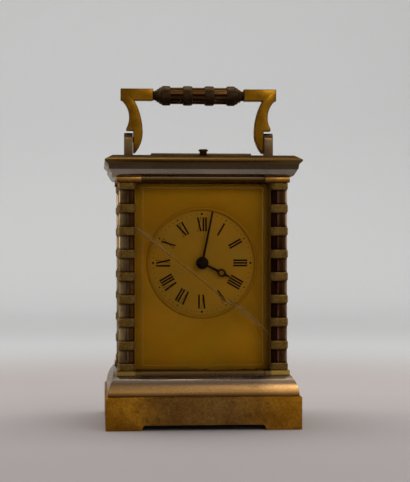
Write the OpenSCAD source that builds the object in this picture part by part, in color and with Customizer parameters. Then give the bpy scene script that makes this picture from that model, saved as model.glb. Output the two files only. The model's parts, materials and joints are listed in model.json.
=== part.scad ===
// Travelling clock in a glazed case: plinth, banded corner columns, moulded cornice,
// folding handle and a striking movement between two plates.
// Sizes are in millimetres. The origin is the bottom centre of the plinth.
// The front faces -Y, +X is to its right and +Z is up.

/* [Plinth] */
// Width of the plinth
plinth_w = 104.5; // [100:0.5:112]
// Depth of the plinth
plinth_d = 90; // [86:0.5:100]
// Height of the plinth
plinth_h = 17.8; // [14:0.1:24]
// Thickness of the plinth's walls
plinth_wall = 5; // [3:0.1:7]
// Length of each bracket foot along the plinth's faces
foot_len = 19.4; // [14:0.1:26]
// Height of the cut between two feet
arch_h = 2.9; // [2:0.1:6]
// Radius at the ends of the cut between two feet
arch_r = 2; // [0.5:0.1:2]
// Chamfer round the plinth's top edge
plinth_chamfer = 0.6; // [0.2:0.1:1.2]

/* [Base moulding] */
// Height of the convex moulding
mould_h = 10.6; // [9:0.1:14]
// Step from the plinth's face in to the moulding's foot
mould_ledge = 1.2; // [0.6:0.1:2]
// How far the moulding's top lies in from its foot
mould_run = 4.2; // [3:0.1:4.5]
// Thickness of the floor that carries the movement
floor_t = 2; // [1.5:0.1:3]

/* [Columns] */
// Height of the columns between their blocks
column_h = 100.8; // [100:0.1:112]
// Distance from the plinth's edge in to a column's middle
column_in = 11.25; // [11:0.05:12]
// Radius of the stout corner rod of a column
rod_r = 2.5; // [2.2:0.05:2.6]
// Radius of the two slender rods beside it
side_rod_r = 1.85; // [1.6:0.05:2]
// Width of a column's bundle of rods
bundle_w = 8.6; // [8.2:0.1:8.8]
// How far a band stands proud of the rods
band_proud = 0.5; // [0.2:0.05:0.5]
// Height of a band
band_h = 4.8; // [3.5:0.1:6]
// Number of bands on a column
band_count = 9; // [5:1:11]
// Length of the square blocks below and above a column
block_len = 13.3; // [12.6:0.1:14]
// Distance from the plinth's edge in to a block's face
block_in = 5.8; // [5.7:0.05:6]
// Height of the lower blocks and rails
sill_h = 2.6; // [2.2:0.1:4]
// Height of the upper blocks and rails
cap_h = 2.8; // [2.4:0.1:4]
// How far the rails lie behind the blocks
rail_back = 2.2; // [1:0.1:2.4]
// Thickness of the rails
rail_t = 6; // [5.6:0.1:7]

/* [Cornice] */
// Radius of the cornice's lower convex moulding
ovolo_r = 4.1; // [3.5:0.1:4.5]
// Height of the fascia above it
fascia_h = 2.7; // [2:0.1:4]
// Height of the flare under the lip
flare_h = 1.6; // [1.2:0.1:2.5]
// Height of the lip
lip_h = 0.8; // [0.5:0.1:1.5]
// Height of the slope above the lip
slope_h = 2.3; // [1.5:0.1:3]
// How far the lip stands out past the plinth's edge
lip_out = 0.35; // [0:0.05:1.5]
// Distance from the plinth's edge in to the fascia
fascia_in = 2.25; // [2:0.05:3]
// Distance from the plinth's edge in to the top of the slope
top_in = 3.75; // [3:0.05:5]
// Thickness of the top plate
top_t = 3; // [2.6:0.1:4]

/* [Glass] */
// Thickness of the glass panels
glass_t = 2; // [1.5:0.1:2.2]
// Width of the bevel round a panel
bevel_w = 4; // [2:0.1:6]
// Thickness of a panel at its edge
bevel_edge = 1.2; // [0.8:0.1:1.4]
// Depth of the grooves that hold the panels
groove_depth = 1; // [0.6:0.1:1.4]
// Width of the raised rim round the top glass
rim_w = 55; // [46:0.5:60]
// Depth of the raised rim round the top glass
rim_d = 43; // [36:0.5:46]
// Height of the raised rim
rim_h = 2.2; // [1.5:0.1:3]
// Width of the raised rim's frame
rim_band = 4.5; // [3.5:0.1:5.5]

/* [Door] */
// Thickness of the rear door
door_t = 3; // [2.8:0.1:3.2]
// Width of the door's stiles and rails
door_band = 6; // [5:0.1:8]
// Radius of the door's pivots
door_pin_r = 0.7; // [0.5:0.05:0.9]

/* [Handle] */
// Height of the handle's pivot above the top plate
pivot_up = 10.9; // [10.5:0.1:13]
// Distance from the middle to the inner face of a post
post_in = 36.8; // [36:0.1:37.5]
// Thickness of a post
post_t = 4.8; // [4:0.1:5.5]
// Radius of a post's rounded head
post_r = 3.8; // [3:0.1:4.2]
// Depth of the scrolled arms
arm_d = 6; // [5:0.1:7]
// Height of the grip's axis above the pivot
grip_up = 24.7; // [24.6:0.1:29]
// Height of the bars that hold the grip
bar_h = 6.6; // [5.5:0.1:7]
// How far the bars' middle lies above the grip's axis
bar_up = 0.4; // [0:0.1:0.8]
// Inner end of the bars, from the middle
bar_in = 25.4; // [25:0.1:27]
// Outer end of the bars, from the middle
bar_out = 43.6; // [43:0.1:46]
// Radius of the reeded grip
grip_r = 4.7; // [4:0.05:5]
// Radius of the grip's bands
grip_band_r = 5.55; // [5.2:0.05:6]
// Width of the grip's bands
grip_band_w = 5; // [3:0.1:6]
// Radius of the grip's necks
neck_r = 2.5; // [2:0.05:3]
// Radius of the handle's pivot screws
pivot_r = 1.5; // [1:0.05:2]

/* [Dial] */
// Height of the dial's middle above the ground
dial_z = 88.5; // [86:0.1:90]
// Radius of the dial that shows in the mask
dial_r = 28.6; // [26:0.1:32]
// Length of the minute hand
minute_len = 27.5; // [24:0.1:28]
// Length of the hour hand
hour_len = 17.8; // [14:0.1:20]
// Radius of the round boss over the hands
boss_r = 3.5; // [2.5:0.1:4]
// Clockwise turn of the minute hand from the top
minute_turn = 11.8; // [0:0.1:359]
// Clockwise turn of the hour hand from the top
hour_turn = 117; // [0:0.1:359]

/* [Movement] */
// Width of the movement's plates
plate_w = 64; // [64:0.5:70]
// Height of the movement's plates
plate_h = 89.6; // [88:0.1:91]
// Thickness of the movement's plates
plate_t = 2; // [1.6:0.1:2.4]
// Clear space between the plates
plate_gap = 30; // [29:0.1:31]
// Space between the dial and the front plate, which holds the motion work
motion_room = 6.7; // [6.5:0.1:7]
// Height of the barrels' axes above the ground
barrel_z = 57; // [56:0.1:58]
// Distance from the middle to a barrel's axis
barrel_x = 16; // [15.8:0.1:17]
// Radius of a barrel
barrel_r = 13.5; // [11:0.1:13.6]
// Radius of a barrel's arbor
barrel_arbor_r = 2; // [1.8:0.05:2.4]
// Side of the winding squares
square_w = 2.7; // [2.2:0.05:2.8]
// Radius of the balance wheel
balance_r = 7.5; // [6.5:0.1:7.6]
// Turns of the gong
gong_turns = 3.25; // [3.25:1:4.25]
// Pitch of the gong's turns
gong_pitch = 4; // [3.2:0.1:4.2]

/* [Repeat] */
// Radius of the repeat button's head
button_r = 2.55; // [2.2:0.05:3]
// Travel of the repeat button
button_travel = 2; // [1.5:0.1:2.1]
// Distance from the plinth's front edge in to the button
button_in = 8.5; // [8.2:0.1:9]

/* [Clearances] */
// Clearance round a pin or arbor that turns
run_fit = 0.05; // [0.03:0.01:0.1]
// Clearance beside a panel that is slipped in place
slip = 0.1; // [0.05:0.01:0.2]
// Clearance between pieces that pass without touching
pass_gap = 0.3; // [0.2:0.05:0.4]

/* [Hidden] */
$fn = 64;

// Height levels of the case, from the ground up
z_mould = plinth_h;
z_floor = z_mould + mould_h;
z_sill = z_floor + sill_h;
z_cap = z_sill + column_h;
z_cornice = z_cap + cap_h;
z_fascia = z_cornice + ovolo_r;
z_flare = z_fascia + fascia_h;
z_lip = z_flare + flare_h;
z_slope = z_lip + lip_h;
z_top = z_slope + slope_h;
z_pivot = z_top + pivot_up;
z_grip = z_pivot + grip_up;

half_w = plinth_w / 2;
half_d = plinth_d / 2;
column_x = half_w - column_in;
column_y = half_d - column_in;
cut = 1; // how far a cutting solid runs past what it cuts

// The convex moulding is an arc that starts upright
mould_arc_r = (mould_run * mould_run + mould_h * mould_h) / (2 * mould_run);
base_wall = 4;
case_hollow_in = mould_ledge + mould_run + base_wall;
base_boss = 4;

// A column's bundle, measured from its middle, outwards positive
bundle_half = bundle_w / 2;
rod_at = bundle_half - rod_r;
side_rod_at = side_rod_r - bundle_half;
core_w = 3.8;
core_from = side_rod_at - side_rod_r / 2;
column_screw_r = 1.2;
column_screw_up = 5;
column_spigot_r = 1.6;
column_spigot_h = cap_h + 1.8;
screw_head_r = 2.4;
screw_head_h = 1.6;

// The glass panels stand between the columns, in line with the columns' middles
band_reach = bundle_half + band_proud;
front_glass_w = 2 * (column_x - band_reach - pass_gap);
side_glass_w = 2 * (column_y - band_reach - pass_gap);
glass_z = z_sill - groove_depth + slip;
glass_h = column_h + 2 * (groove_depth - slip);

// The cornice's hollow leaves a boss over each column
hollow_in = column_in - 0.5;
boss_lap = 0.5;
top_glass_lap = 1.5;
rim_round = 0.8;

// The door turns on a stile with a full round edge
door_edge = column_x - band_reach - pass_gap;
door_pivot_x = -(door_edge - door_t / 2);
door_lift = 0.3;
door_h = column_h - 2 * door_lift;
door_z = z_sill + door_lift;
door_pin_deep = 1.4;
door_pin_in = 4;
door_rebate = 1.5;
knob_r = 2;

// Scrolled arm of the handle, measured from the pivot in X and Z
arm_face = post_in - pass_gap;
arm_tail = 7.6;
arm_belly = 5.2;
arm_belly_x = arm_face - arm_belly;
arm_belly_z = 3.8;
belly_upper_r = 37.5;
belly_lower_r = 17.2;
arm_throat_r = 12.8;
arm_throat_x = arm_face + 15.1;
arm_throat_z = 12.5;
arm_toe = arm_face + 3.9;
arm_toe_z = post_r + 1.1;
bar_z = grip_up + bar_up - bar_h / 2;
spigot_r = 1.5;
spigot_len = 6;
pivot_head_r = pivot_r + 0.8;
pivot_head_h = 0.9;
pivot_sink = 0.2;
pivot_head_low = arm_belly_z + pivot_head_r;
pivot_head_x = arm_belly_x + belly_lower_r + pivot_sink
    - sqrt(belly_lower_r * belly_lower_r - pivot_head_low * pivot_head_low);
reed_count = 14;
reed_r = 1;
collar_out = 20.7;

// Mask, dial and hands stand behind the columns
mask_t = 0.8;
mask_behind = 1.65;
mask_y = -(column_y - band_reach) + mask_behind;
dial_t = 0.8;
dial_y = mask_y + mask_t;
dial_lap = 1.6;
hand_t = 0.6;
hand_step = 1.4;
hour_hand_y = mask_y - hand_step;
minute_hand_y = hour_hand_y - hand_step;
hand_boss_h = 1.5;
hand_boss_r = 4.6;
pipe_r = 1.8;
hour_pipe_r = 2.4;
centre_r = 1.25;

// Planes of the movement, front to back. A wheel's plane is given in thirtieths of the
// space between the plates.
function plane(n) = inner_y + plate_gap * n / 30;
front_plate_y = dial_y + dial_t + motion_room;
inner_y = front_plate_y + plate_t;
back_y = inner_y + plate_gap;
rear_y = back_y + plate_t;
plate_z = z_floor;
plate_top = plate_z + plate_h;
pillar_x = plate_w / 2 - 3.5;
pillar_low = plate_z + 5;
pillar_high = plate_top - 4.5;
pillar_r = 2.2;
arbor_r = 1;
pivot_r_small = 0.8;
ratchet_y = rear_y + 0.4;
ratchet_t = 1.2;
ratchet_n = 20;
ratchet_r = 6.5;
square_len = 9.5;
square_clear = 3.5;
square_out = min(square_len, column_y - door_t / 2 - square_clear - rear_y);

// Tooth counts and modules: great wheel 50 into 10, then 60 into 12 and so on
great_n = 50;
great_m = 0.6;
great_t = 2;
great_y = plane(6);
drum_len = plane(24) - great_y - great_t;
leaf_over = 0.8;
first_pinion_n = 10;
inter_n = 60;
train_m = 0.5;
inter_y = plane(2.4);
inter_t = 1.2;
centre_pinion_n = 12;
centre_n = 48;
centre_y = plane(11);
third_pinion_n = 10;
third_n = 45;
third_y = plane(16.5);
contrate_pinion_n = 10;
wheel_t = 1;
contrate_y = plane(21);
contrate_crown = 2;
contrate_teeth = 40;

// The wheels over the dial's middle are drawn for a given height of the plates above it,
// and take less or more room with that height
upper_room = 29.5;
upper_scale = (plate_top - dial_z) / upper_room;
centre_m = train_m * min(1, upper_scale);
fine_m = 0.4 * upper_scale;
contrate_r = 7.8 * upper_scale;
contrate_up = 17.5 * upper_scale;
hammer_up = 15.5 * upper_scale;

strike_n = 48;
strike_y = plane(26);
strike_pinion_n = 10;
pin_n = 42;
pin_y = plane(19);
pin_rim_share = 5;
pin_ring_r = 9;
pin_count = 10;
pin_r = 0.45;
fly_pinion_n = 8;
motion_m = 0.45;
cannon_n = 14;
minute_n = 42;
hour_m = 0.42;
minute_pinion_n = 12;
hour_n = 48;
cannon_y = front_plate_y - 2.5;
cannon_len = 2;
hour_wheel_y = cannon_y - 2.4;

// Form of the teeth, as shares of the module and of the pitch
tooth_add = 0.95;
tooth_ded = 1.2;
tooth_half = 0.22;
tooth_root_half = 0.24;
rim_share = 2.6;
leaf_add = 0.5;
leaf_ded = 1.3;
leaf_half = 0.17;
leaf_tip_half = 0.09;

// Escapement on its platform
platform_t = 1.5;
z_platform = plate_top + platform_t;
escape_at = [0, contrate_y + wheel_t + contrate_crown + pass_gap + 1];
escape_r = 4.4;
escape_teeth = 15;
escape_m = 0.22;
lever_reach = 6.2;
lever_y = escape_at.y - lever_reach;
escape_low = contrate_up + dial_z + arbor_r + 3;
lever_to_staff = 1.9;
balance_at = [0, lever_y - lever_reach - lever_to_staff];
z_escape = z_platform + 1.7;
z_bridge = z_escape + 1.6;
bridge_t = 1.2;
z_balance = z_platform + 5.5;
z_spring = z_platform + 7.9;
z_cock = z_platform + 9;
cock_t = 1.8;
balance_t = 1.2;
staff_r = 0.5;
spring_turns = 6;
spring_pitch = 0.62;
spring_in = 1.5;
spring_half = 0.08;
stud_w = 0.65;
platform_w = 36;
balance_rim = 1.2;
balance_hub_r = 1.3;
balance_screw_r = 0.4;
roller_r = 1.5;
collet_r = 1.1;
cock_w = 9;
cock_arm_w = 4.8;
cock_boss_r = 3.4;
cock_foot_d = 3.4;
cock_gap = 1.2;
cock_foot_y = balance_at.y - balance_r - balance_screw_r - cock_gap - cock_foot_d;

// Gong and hammer behind the back plate
gong_in = 7;
gong_half_w = 0.7;
gong_half_t = 1.1;
gong_y = rear_y + 6;
gong_start = -90;
hammer_gap = 1.2;
hammer_r = 2.5;
hammer_half = 2;
hammer_in = 3;
hammer_hub_r = 1.9;
hammer_stem_w = 1.2;
hammer_tail_w = 1.4;

// Clicks and their springs on the back plate
click_drop = 3.2;
click_w = 2.4;
click_screw_r = 1.9;
click_over = 0.5;
click_spring_down = 2.6;
click_spring_len = 9;
click_spring_eye_r = 1.3;

// Repeat work under the top plate
button_y = -(half_d - button_in);
button_head = 1.1;
button_neck_r = 1.95;
repeat_arm = 9;
repeat_pivot_z = z_cornice + 3.6;
repeat_pad = 0.8;
repeat_over = 0.8;
repeat_boss_r = 1.8;
stem_r = 0.9;
repeat_pivot_y = button_y + repeat_arm;
repeat_pin_r = 0.8;
cheek_x = 2.4;
cheek_t = 1.6;

// Axes of the movement in the plane of the plates
centre_at = [0, dial_z];
going_at = [barrel_x, barrel_z];
strike_at = [-barrel_x, barrel_z];
inter_at = meet(
    going_at, mesh(great_n, first_pinion_n, great_m),
    centre_at, mesh(inter_n, centre_pinion_n, train_m), -1
);
contrate_at = centre_at + [0, contrate_up];
third_at = meet(
    centre_at, mesh(centre_n, third_pinion_n, centre_m),
    contrate_at, mesh(third_n, contrate_pinion_n, fine_m), -1
);
strike_wheel_at = strike_at + polar(mesh(great_n, first_pinion_n, great_m), 100);
pin_wheel_at = strike_wheel_at + polar(mesh(strike_n, strike_pinion_n, train_m), 75);
fly_at = pin_wheel_at + polar(mesh(pin_n, fly_pinion_n, train_m), 100);
motion_at = centre_at + polar(mesh(minute_n, cannon_n, motion_m), -60);
gong_side_r = gong_in + gong_pitch * (floor(gong_turns) - 0.25);
hammer_head_x = -(gong_side_r + gong_half_w + hammer_gap + hammer_r);
hammer_at = [hammer_head_x - hammer_in, dial_z + hammer_up];
pillar_places = [for (x = [-pillar_x, pillar_x], z = [pillar_low, pillar_high]) [x, z]];

function polar(r, a) = [r * cos(a), r * sin(a)];
function bearing(a, b) = atan2(b.y - a.y, b.x - a.x);
function mesh(n, leaves, m) = (n + leaves) * m / 2;

// The point at distance ra from a and rb from b, on one side of the line between them
function meet(a, ra, b, rb, side) =
    let (
        d = norm(b - a),
        along = (ra * ra - rb * rb + d * d) / (2 * d),
        off = sqrt(ra * ra - along * along),
        u = (b - a) / d
    )
    a + along * u + side * off * [-u.y, u.x];

// Outline of a wheel: each tooth has a root, a flank and a pointed crest
function wheel_outline(n, m, phase) = [
    for (i = [0 : n - 1], k = [0 : 4])
        let (
            r = n * m / 2,
            radii = [r - tooth_ded * m, r, r + tooth_add * m, r, r - tooth_ded * m],
            turns = [-tooth_root_half, -tooth_half, 0, tooth_half, tooth_root_half]
        )
        polar(radii[k], phase + (i + turns[k]) * 360 / n)
];

// Outline of a pinion: each leaf has straight radial flanks and a blunt tip
function pinion_outline(n, m, phase) = [
    for (i = [0 : n - 1], k = [0 : 5])
        let (
            r = n * m / 2,
            tip = r + leaf_add * m,
            radii = [r - leaf_ded * m, r, tip, tip, r, r - leaf_ded * m],
            turns = [-leaf_half, -leaf_half, -leaf_tip_half, leaf_tip_half, leaf_half, leaf_half]
        )
        polar(radii[k], phase + (i + turns[k]) * 360 / n)
];

// A flat shape drawn in X and Z, from y0 back to y1
module upright(y0, y1) {
    rotate([90, 0, 0])
        translate([0, 0, -y1])
            linear_extrude(y1 - y0)
                children();
}

// A flat shape drawn in Y and Z, from x0 to x1
module sideways(x0, x1) {
    rotate([90, 0, 90])
        translate([0, 0, x0])
            linear_extrude(x1 - x0)
                children();
}

// A round bar along Y through a point of the plate plane
module bar_y(p, r, y0, y1) {
    upright(y0, y1)
        translate(p)
            circle(r);
}

// A round bar along X
module bar_x(r, x0, x1) {
    translate([x0, 0, 0])
        rotate([0, 90, 0])
            cylinder(h = x1 - x0, r = r);
}

// A block of rectangular plan whose four sides share one profile. The profile is drawn
// with its face at x = 0 and the metal towards -x.
module moulded_block(w, d) {
    intersection() {
        upright(-d, d)
            both_edges(w / 2)
                children();
        sideways(-w, w)
            both_edges(d / 2)
                children();
    }
}

module both_edges(half) {
    for (side = [0, 1])
        mirror([side, 0])
            translate([half, 0])
                children();
}

// A rectangular frame standing on z
module flat_frame(w, d, band, z, h) {
    difference() {
        translate([-w / 2, -d / 2, z])
            cube([w, d, h]);
        translate([-w / 2 + band, -d / 2 + band, z - cut])
            cube([w - 2 * band, d - 2 * band, h + 2 * cut]);
    }
}

module four_corners(x, y) {
    for (sx = [-1, 1], sy = [-1, 1])
        translate([sx * x, sy * y, 0])
            children();
}

module plinth_profile() {
    reach = half_w + cut;
    translate([-reach, 0])
        polygon([
            [0, 0],
            [reach, 0],
            [reach, plinth_h - plinth_chamfer],
            [reach - plinth_chamfer, plinth_h],
            [0, plinth_h]
        ]);
}

// The space between two feet, with rounded upper corners
module foot_gap(span) {
    translate([-span / 2, -cut])
        square([span, cut + arch_h - arch_r]);
    translate([-span / 2 + arch_r, -cut])
        square([span - 2 * arch_r, cut + arch_h]);
    for (x = [-1, 1])
        translate([x * (span / 2 - arch_r), arch_h - arch_r])
            circle(arch_r);
}

module plinth() {
    color("darkgoldenrod")
        difference() {
            moulded_block(plinth_w, plinth_d)
                plinth_profile();
            translate([-half_w + plinth_wall, -half_d + plinth_wall, -cut])
                cube([plinth_w - 2 * plinth_wall, plinth_d - 2 * plinth_wall, plinth_h + 2 * cut]);
            upright(-plinth_d, plinth_d)
                foot_gap(plinth_w - 2 * foot_len);
            sideways(-plinth_w, plinth_w)
                foot_gap(plinth_d - 2 * foot_len);
        }
}

module mould_profile() {
    reach = half_w + cut;
    intersection() {
        translate([-mould_arc_r, 0])
            circle(mould_arc_r, $fn = 128);
        translate([-mould_arc_r, 0])
            square([mould_arc_r, mould_h]);
    }
    translate([-reach, 0])
        square([reach - mould_arc_r, mould_h]);
}

// The slots that hold the three fixed panels, wherever they pass
module glass_slots() {
    t = glass_t + 2 * slip;
    z = glass_z - slip;
    h = glass_h + 2 * slip;
    w = front_glass_w + 2 * slip;
    d = side_glass_w + 2 * slip;
    translate([-w / 2, -column_y - t / 2, z])
        cube([w, t, h]);
    for (side = [-1, 1])
        translate([side * column_x - t / 2, -d / 2, z])
            cube([t, d, h]);
}

module blocks(z, h, grow = 0) {
    size = block_len + 2 * grow;
    four_corners(half_w - block_in - block_len / 2, half_d - block_in - block_len / 2)
        translate([-size / 2, -size / 2, z])
            cube([size, size, h]);
}

module rails(z, h) {
    inset = 2 * (block_in + rail_back);
    flat_frame(plinth_w - inset, plinth_d - inset, rail_t, z, h);
}

// The moulding, its floor and the sill with its corner blocks, in one casting
module base_casting() {
    color("silver")
        difference() {
            union() {
                translate([0, 0, z_mould])
                    moulded_block(plinth_w - 2 * mould_ledge, plinth_d - 2 * mould_ledge)
                        mould_profile();
                rails(z_floor, sill_h);
                blocks(z_floor, sill_h);
            }
            base_hollow();
            glass_slots();
            door_pin_holes();
            four_corners(column_x + rod_at, column_y + rod_at)
                column_screw_hole();
        }
}

// The hollow under the floor, which leaves a boss round each column's screw
module base_hollow() {
    w = plinth_w - 2 * case_hollow_in;
    d = plinth_d - 2 * case_hollow_in;
    h = mould_h - floor_t + cut;
    for (size = [[w, d - 2 * base_boss], [w - 2 * base_boss, d]])
        translate([-size.x / 2, -size.y / 2, z_mould - cut])
            cube([size.x, size.y, h]);
}

// The way of a screw that rises through the casting into a column
module column_screw_hole() {
    translate([0, 0, z_mould - cut])
        cylinder(h = z_sill, r = column_screw_r + slip);
    translate([0, 0, z_mould - cut])
        cylinder(h = cut + screw_head_h + slip, r = screw_head_r + slip);
}

module case_screws() {
    color("goldenrod")
        four_corners(column_x + rod_at, column_y + rod_at) {
            translate([0, 0, z_mould])
                cylinder(h = screw_head_h, r = screw_head_r);
            translate([0, 0, z_mould + screw_head_h])
                cylinder(h = z_sill + column_screw_up - z_mould - screw_head_h, r = column_screw_r);
        }
}

// Plan of the bundle: a stout rod at the corner, a slender one on each side, a core behind
module bundle_plan() {
    translate([rod_at, rod_at])
        circle(rod_r);
    translate([side_rod_at, rod_at])
        circle(side_rod_r);
    translate([rod_at, side_rod_at])
        circle(side_rod_r);
    translate([core_from, core_from])
        square(core_w);
}

// Plan of a band: a ring with round corners that lies flush over the rods
module band_plan() {
    reach = bundle_half + band_proud;
    end_r = side_rod_r + band_proud;
    end_at = reach - end_r;
    translate([rod_at, rod_at])
        circle(rod_r + band_proud);
    for (flip = [0, 1])
        mirror([flip, -flip, 0]) {
            translate([-end_at, end_at])
                circle(end_r);
            translate([-end_at, reach - 2 * end_r])
                square([end_at + rod_at, 2 * end_r]);
        }
    translate([core_from, core_from])
        square(core_w + band_proud);
}

module column() {
    pitch = (column_h - band_h) / (band_count - 1);
    difference() {
        union() {
            translate([0, 0, z_sill])
                linear_extrude(column_h)
                    bundle_plan();
            for (i = [0 : band_count - 1])
                translate([0, 0, z_sill + i * pitch])
                    linear_extrude(band_h)
                        band_plan();
            translate([rod_at, rod_at, z_cap])
                cylinder(h = column_spigot_h, r = column_spigot_r);
        }
        translate([rod_at, rod_at, z_sill - cut])
            cylinder(h = cut + column_screw_up + slip, r = column_screw_r + run_fit);
    }
}

// A column with its stout rod towards the case's corner
module corner_column(right, rear) {
    color("dimgray")
        mirror([right ? 0 : 1, 0, 0])
            mirror([0, rear ? 0 : 1, 0])
                translate([column_x, column_y, 0])
                    column();
}

module spigot_holes(h) {
    four_corners(column_x + rod_at, column_y + rod_at)
        translate([0, 0, z_cap - cut])
            cylinder(h = h, r = column_spigot_r + run_fit);
}

module column_capitals() {
    color("gold")
        difference() {
            blocks(z_cap, cap_h);
            spigot_holes(cap_h + 2 * cut);
            glass_slots();
            door_pin_holes();
        }
}

// Convex below, then a plain fascia, a flare to the lip and a slope up to the top
module cornice_profile() {
    reach = half_w + cut;
    ovolo_x = -fascia_in - 0.4 - ovolo_r;
    intersection() {
        translate([ovolo_x, z_fascia])
            circle(ovolo_r);
        translate([ovolo_x, z_cornice])
            square([ovolo_r, ovolo_r]);
    }
    translate([-reach, z_cornice])
        square([reach + ovolo_x, ovolo_r]);
    polygon([
        [-reach, z_fascia],
        [-fascia_in, z_fascia],
        [-fascia_in, z_flare],
        [lip_out, z_lip],
        [lip_out, z_slope],
        [-top_in, z_top],
        [-reach, z_top]
    ]);
}

module cornice() {
    color("tan")
        difference() {
            union() {
                moulded_block(plinth_w, plinth_d)
                    cornice_profile();
                rails(z_cap, cap_h);
            }
            hollow_w = plinth_w - 2 * hollow_in;
            hollow_d = plinth_d - 2 * hollow_in;
            difference() {
                translate([-hollow_w / 2, -hollow_d / 2, z_cornice - cap_h - cut])
                    cube([hollow_w, hollow_d, z_top - top_t - z_cornice + cap_h + cut]);
                rails(z_cap, cap_h);
                blocks(z_cap - cut, z_top - z_cap, boss_lap);
                repeat_cheeks();
            }
            blocks(z_cap - cut, cap_h + cut);
            spigot_holes(column_spigot_h + cut + slip);
            glass_slots();
            door_pin_holes();
            top_glass_seat();
            translate([0, button_y, z_top - top_t - cut])
                cylinder(h = top_t + 2 * cut, r = button_neck_r + run_fit);
            repeat_pocket();
            repeat_pin(run_fit, cut);
        }
}

// Room in the front wall for the button's stem and the lever's front end
module repeat_pocket() {
    y0 = button_y - repeat_over - pass_gap;
    z0 = z_cornice + 0.3;
    z1 = z_top - top_t;
    translate([-cheek_x, y0, z0])
        cube([2 * cheek_x, repeat_arm / 2, z1 - z0]);
    translate([0, button_y, z1 - button_travel - pass_gap])
        cylinder(h = button_travel + pass_gap, r = button_neck_r + pass_gap);
}

// Two ears under the top plate that carry the repeat lever
module repeat_cheeks() {
    for (side = [-1, 1])
        translate([side > 0 ? cheek_x : -cheek_x - cheek_t, repeat_pivot_y - 2, repeat_pivot_z - 2])
            cube([cheek_t, 4, z_top - repeat_pivot_z]);
}

module repeat_pin(extra, over) {
    half = cheek_x + cheek_t + over;
    translate([0, repeat_pivot_y, repeat_pivot_z])
        bar_x(repeat_pin_r + extra, -half, half);
}

// The rebate and the clear opening for the top panel
module top_glass_seat() {
    w = rim_w - 2 * rim_band;
    d = rim_d - 2 * rim_band;
    lap = top_glass_lap;
    translate([-w / 2, -d / 2, z_top - top_t - cut])
        cube([w, d, top_t + 2 * cut]);
    translate([-w / 2 - lap - slip, -d / 2 - lap - slip, z_top - glass_t])
        cube([w + 2 * (lap + slip), d + 2 * (lap + slip), glass_t + cut]);
}

module rim_profile() {
    reach = rim_w / 2 + cut;
    translate([-reach, z_top])
        square([reach, rim_h - rim_round]);
    translate([-reach, z_top])
        square([reach - rim_round, rim_h]);
    translate([-rim_round, z_top + rim_h - rim_round])
        circle(rim_round);
}

module top_rim() {
    color("goldenrod")
        difference() {
            moulded_block(rim_w, rim_d)
                rim_profile();
            w = rim_w - 2 * rim_band;
            d = rim_d - 2 * rim_band;
            translate([-w / 2, -d / 2, z_top - cut])
                cube([w, d, rim_h + 2 * cut]);
        }
}

// A panel w wide and h high with its back at z = 0 and a bevel round its front
module bevelled_panel(w, h) {
    intersection() {
        rotate([90, 0, 0])
            linear_extrude(h, center = true)
                bevel_section(w);
        rotate([90, 0, 90])
            linear_extrude(w, center = true)
                bevel_section(h);
    }
}

module bevel_section(w) {
    polygon([
        [-w / 2, 0],
        [w / 2, 0],
        [w / 2, bevel_edge],
        [w / 2 - bevel_w, glass_t],
        [-w / 2 + bevel_w, glass_t],
        [-w / 2, bevel_edge]
    ]);
}

module standing_panel(w, h, z) {
    translate([0, glass_t / 2, z + h / 2])
        rotate([90, 0, 0])
            bevelled_panel(w, h);
}

module top_glass() {
    w = rim_w - 2 * rim_band + 2 * top_glass_lap;
    d = rim_d - 2 * rim_band + 2 * top_glass_lap;
    color("lightblue", 0.4)
        translate([0, 0, z_top - glass_t])
            bevelled_panel(w, d);
}

module front_glass() {
    color("lightblue", 0.4)
        translate([0, -column_y, 0])
            standing_panel(front_glass_w, glass_h, glass_z);
}

module side_glass(side) {
    color("lightblue", 0.4)
        translate([side * column_x, 0, 0])
            rotate([0, 0, side * 90])
                standing_panel(side_glass_w, glass_h, glass_z);
}

module door_pin_holes() {
    translate([door_pivot_x, column_y, door_z - door_lift - door_pin_deep - slip])
        cylinder(h = door_h + 2 * (door_lift + door_pin_deep + slip), r = door_pin_r + run_fit);
}

module door_pivots() {
    color("goldenrod")
        for (z = [door_z - door_lift - door_pin_deep, door_z + door_h - door_pin_in])
            translate([door_pivot_x, column_y, z])
                cylinder(h = door_pin_in + door_lift + door_pin_deep, r = door_pin_r);
}

module door_frame() {
    inner_w = 2 * door_edge - 2 * door_band;
    inner_h = door_h - 2 * door_band;
    color("goldenrod")
        difference() {
            union() {
                translate([door_pivot_x, column_y - door_t / 2, door_z])
                    cube([2 * door_edge - door_t / 2, door_t, door_h]);
                translate([door_pivot_x, column_y, door_z])
                    cylinder(h = door_h, r = door_t / 2);
            }
            translate([-inner_w / 2, column_y - door_t, door_z + door_band])
                cube([inner_w, 2 * door_t, inner_h]);
            translate([
                -inner_w / 2 - door_rebate,
                column_y - door_t,
                door_z + door_band - door_rebate
            ])
                cube([
                    inner_w + 2 * door_rebate,
                    door_t / 2 + glass_t,
                    inner_h + 2 * door_rebate
                ]);
            for (z = [door_z - cut, door_z + door_h - door_pin_in])
                translate([door_pivot_x, column_y, z])
                    cylinder(h = door_pin_in + cut, r = door_pin_r);
            translate([door_knob_x(), column_y + door_t / 2 - 1, z_knob()])
                rotate([-90, 0, 0])
                    cylinder(h = 2, r = 1);
        }
}

function door_knob_x() = door_edge - door_band / 2;
function z_knob() = door_z + door_h / 2;

module door_glass() {
    w = 2 * (door_edge - door_band + door_rebate - slip);
    h = door_h - 2 * (door_band - door_rebate + slip);
    color("lightblue", 0.4)
        translate([0, column_y - door_t / 2, door_z + door_h / 2])
            rotate([-90, 0, 0])
                bevelled_panel(w, h);
}

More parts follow.
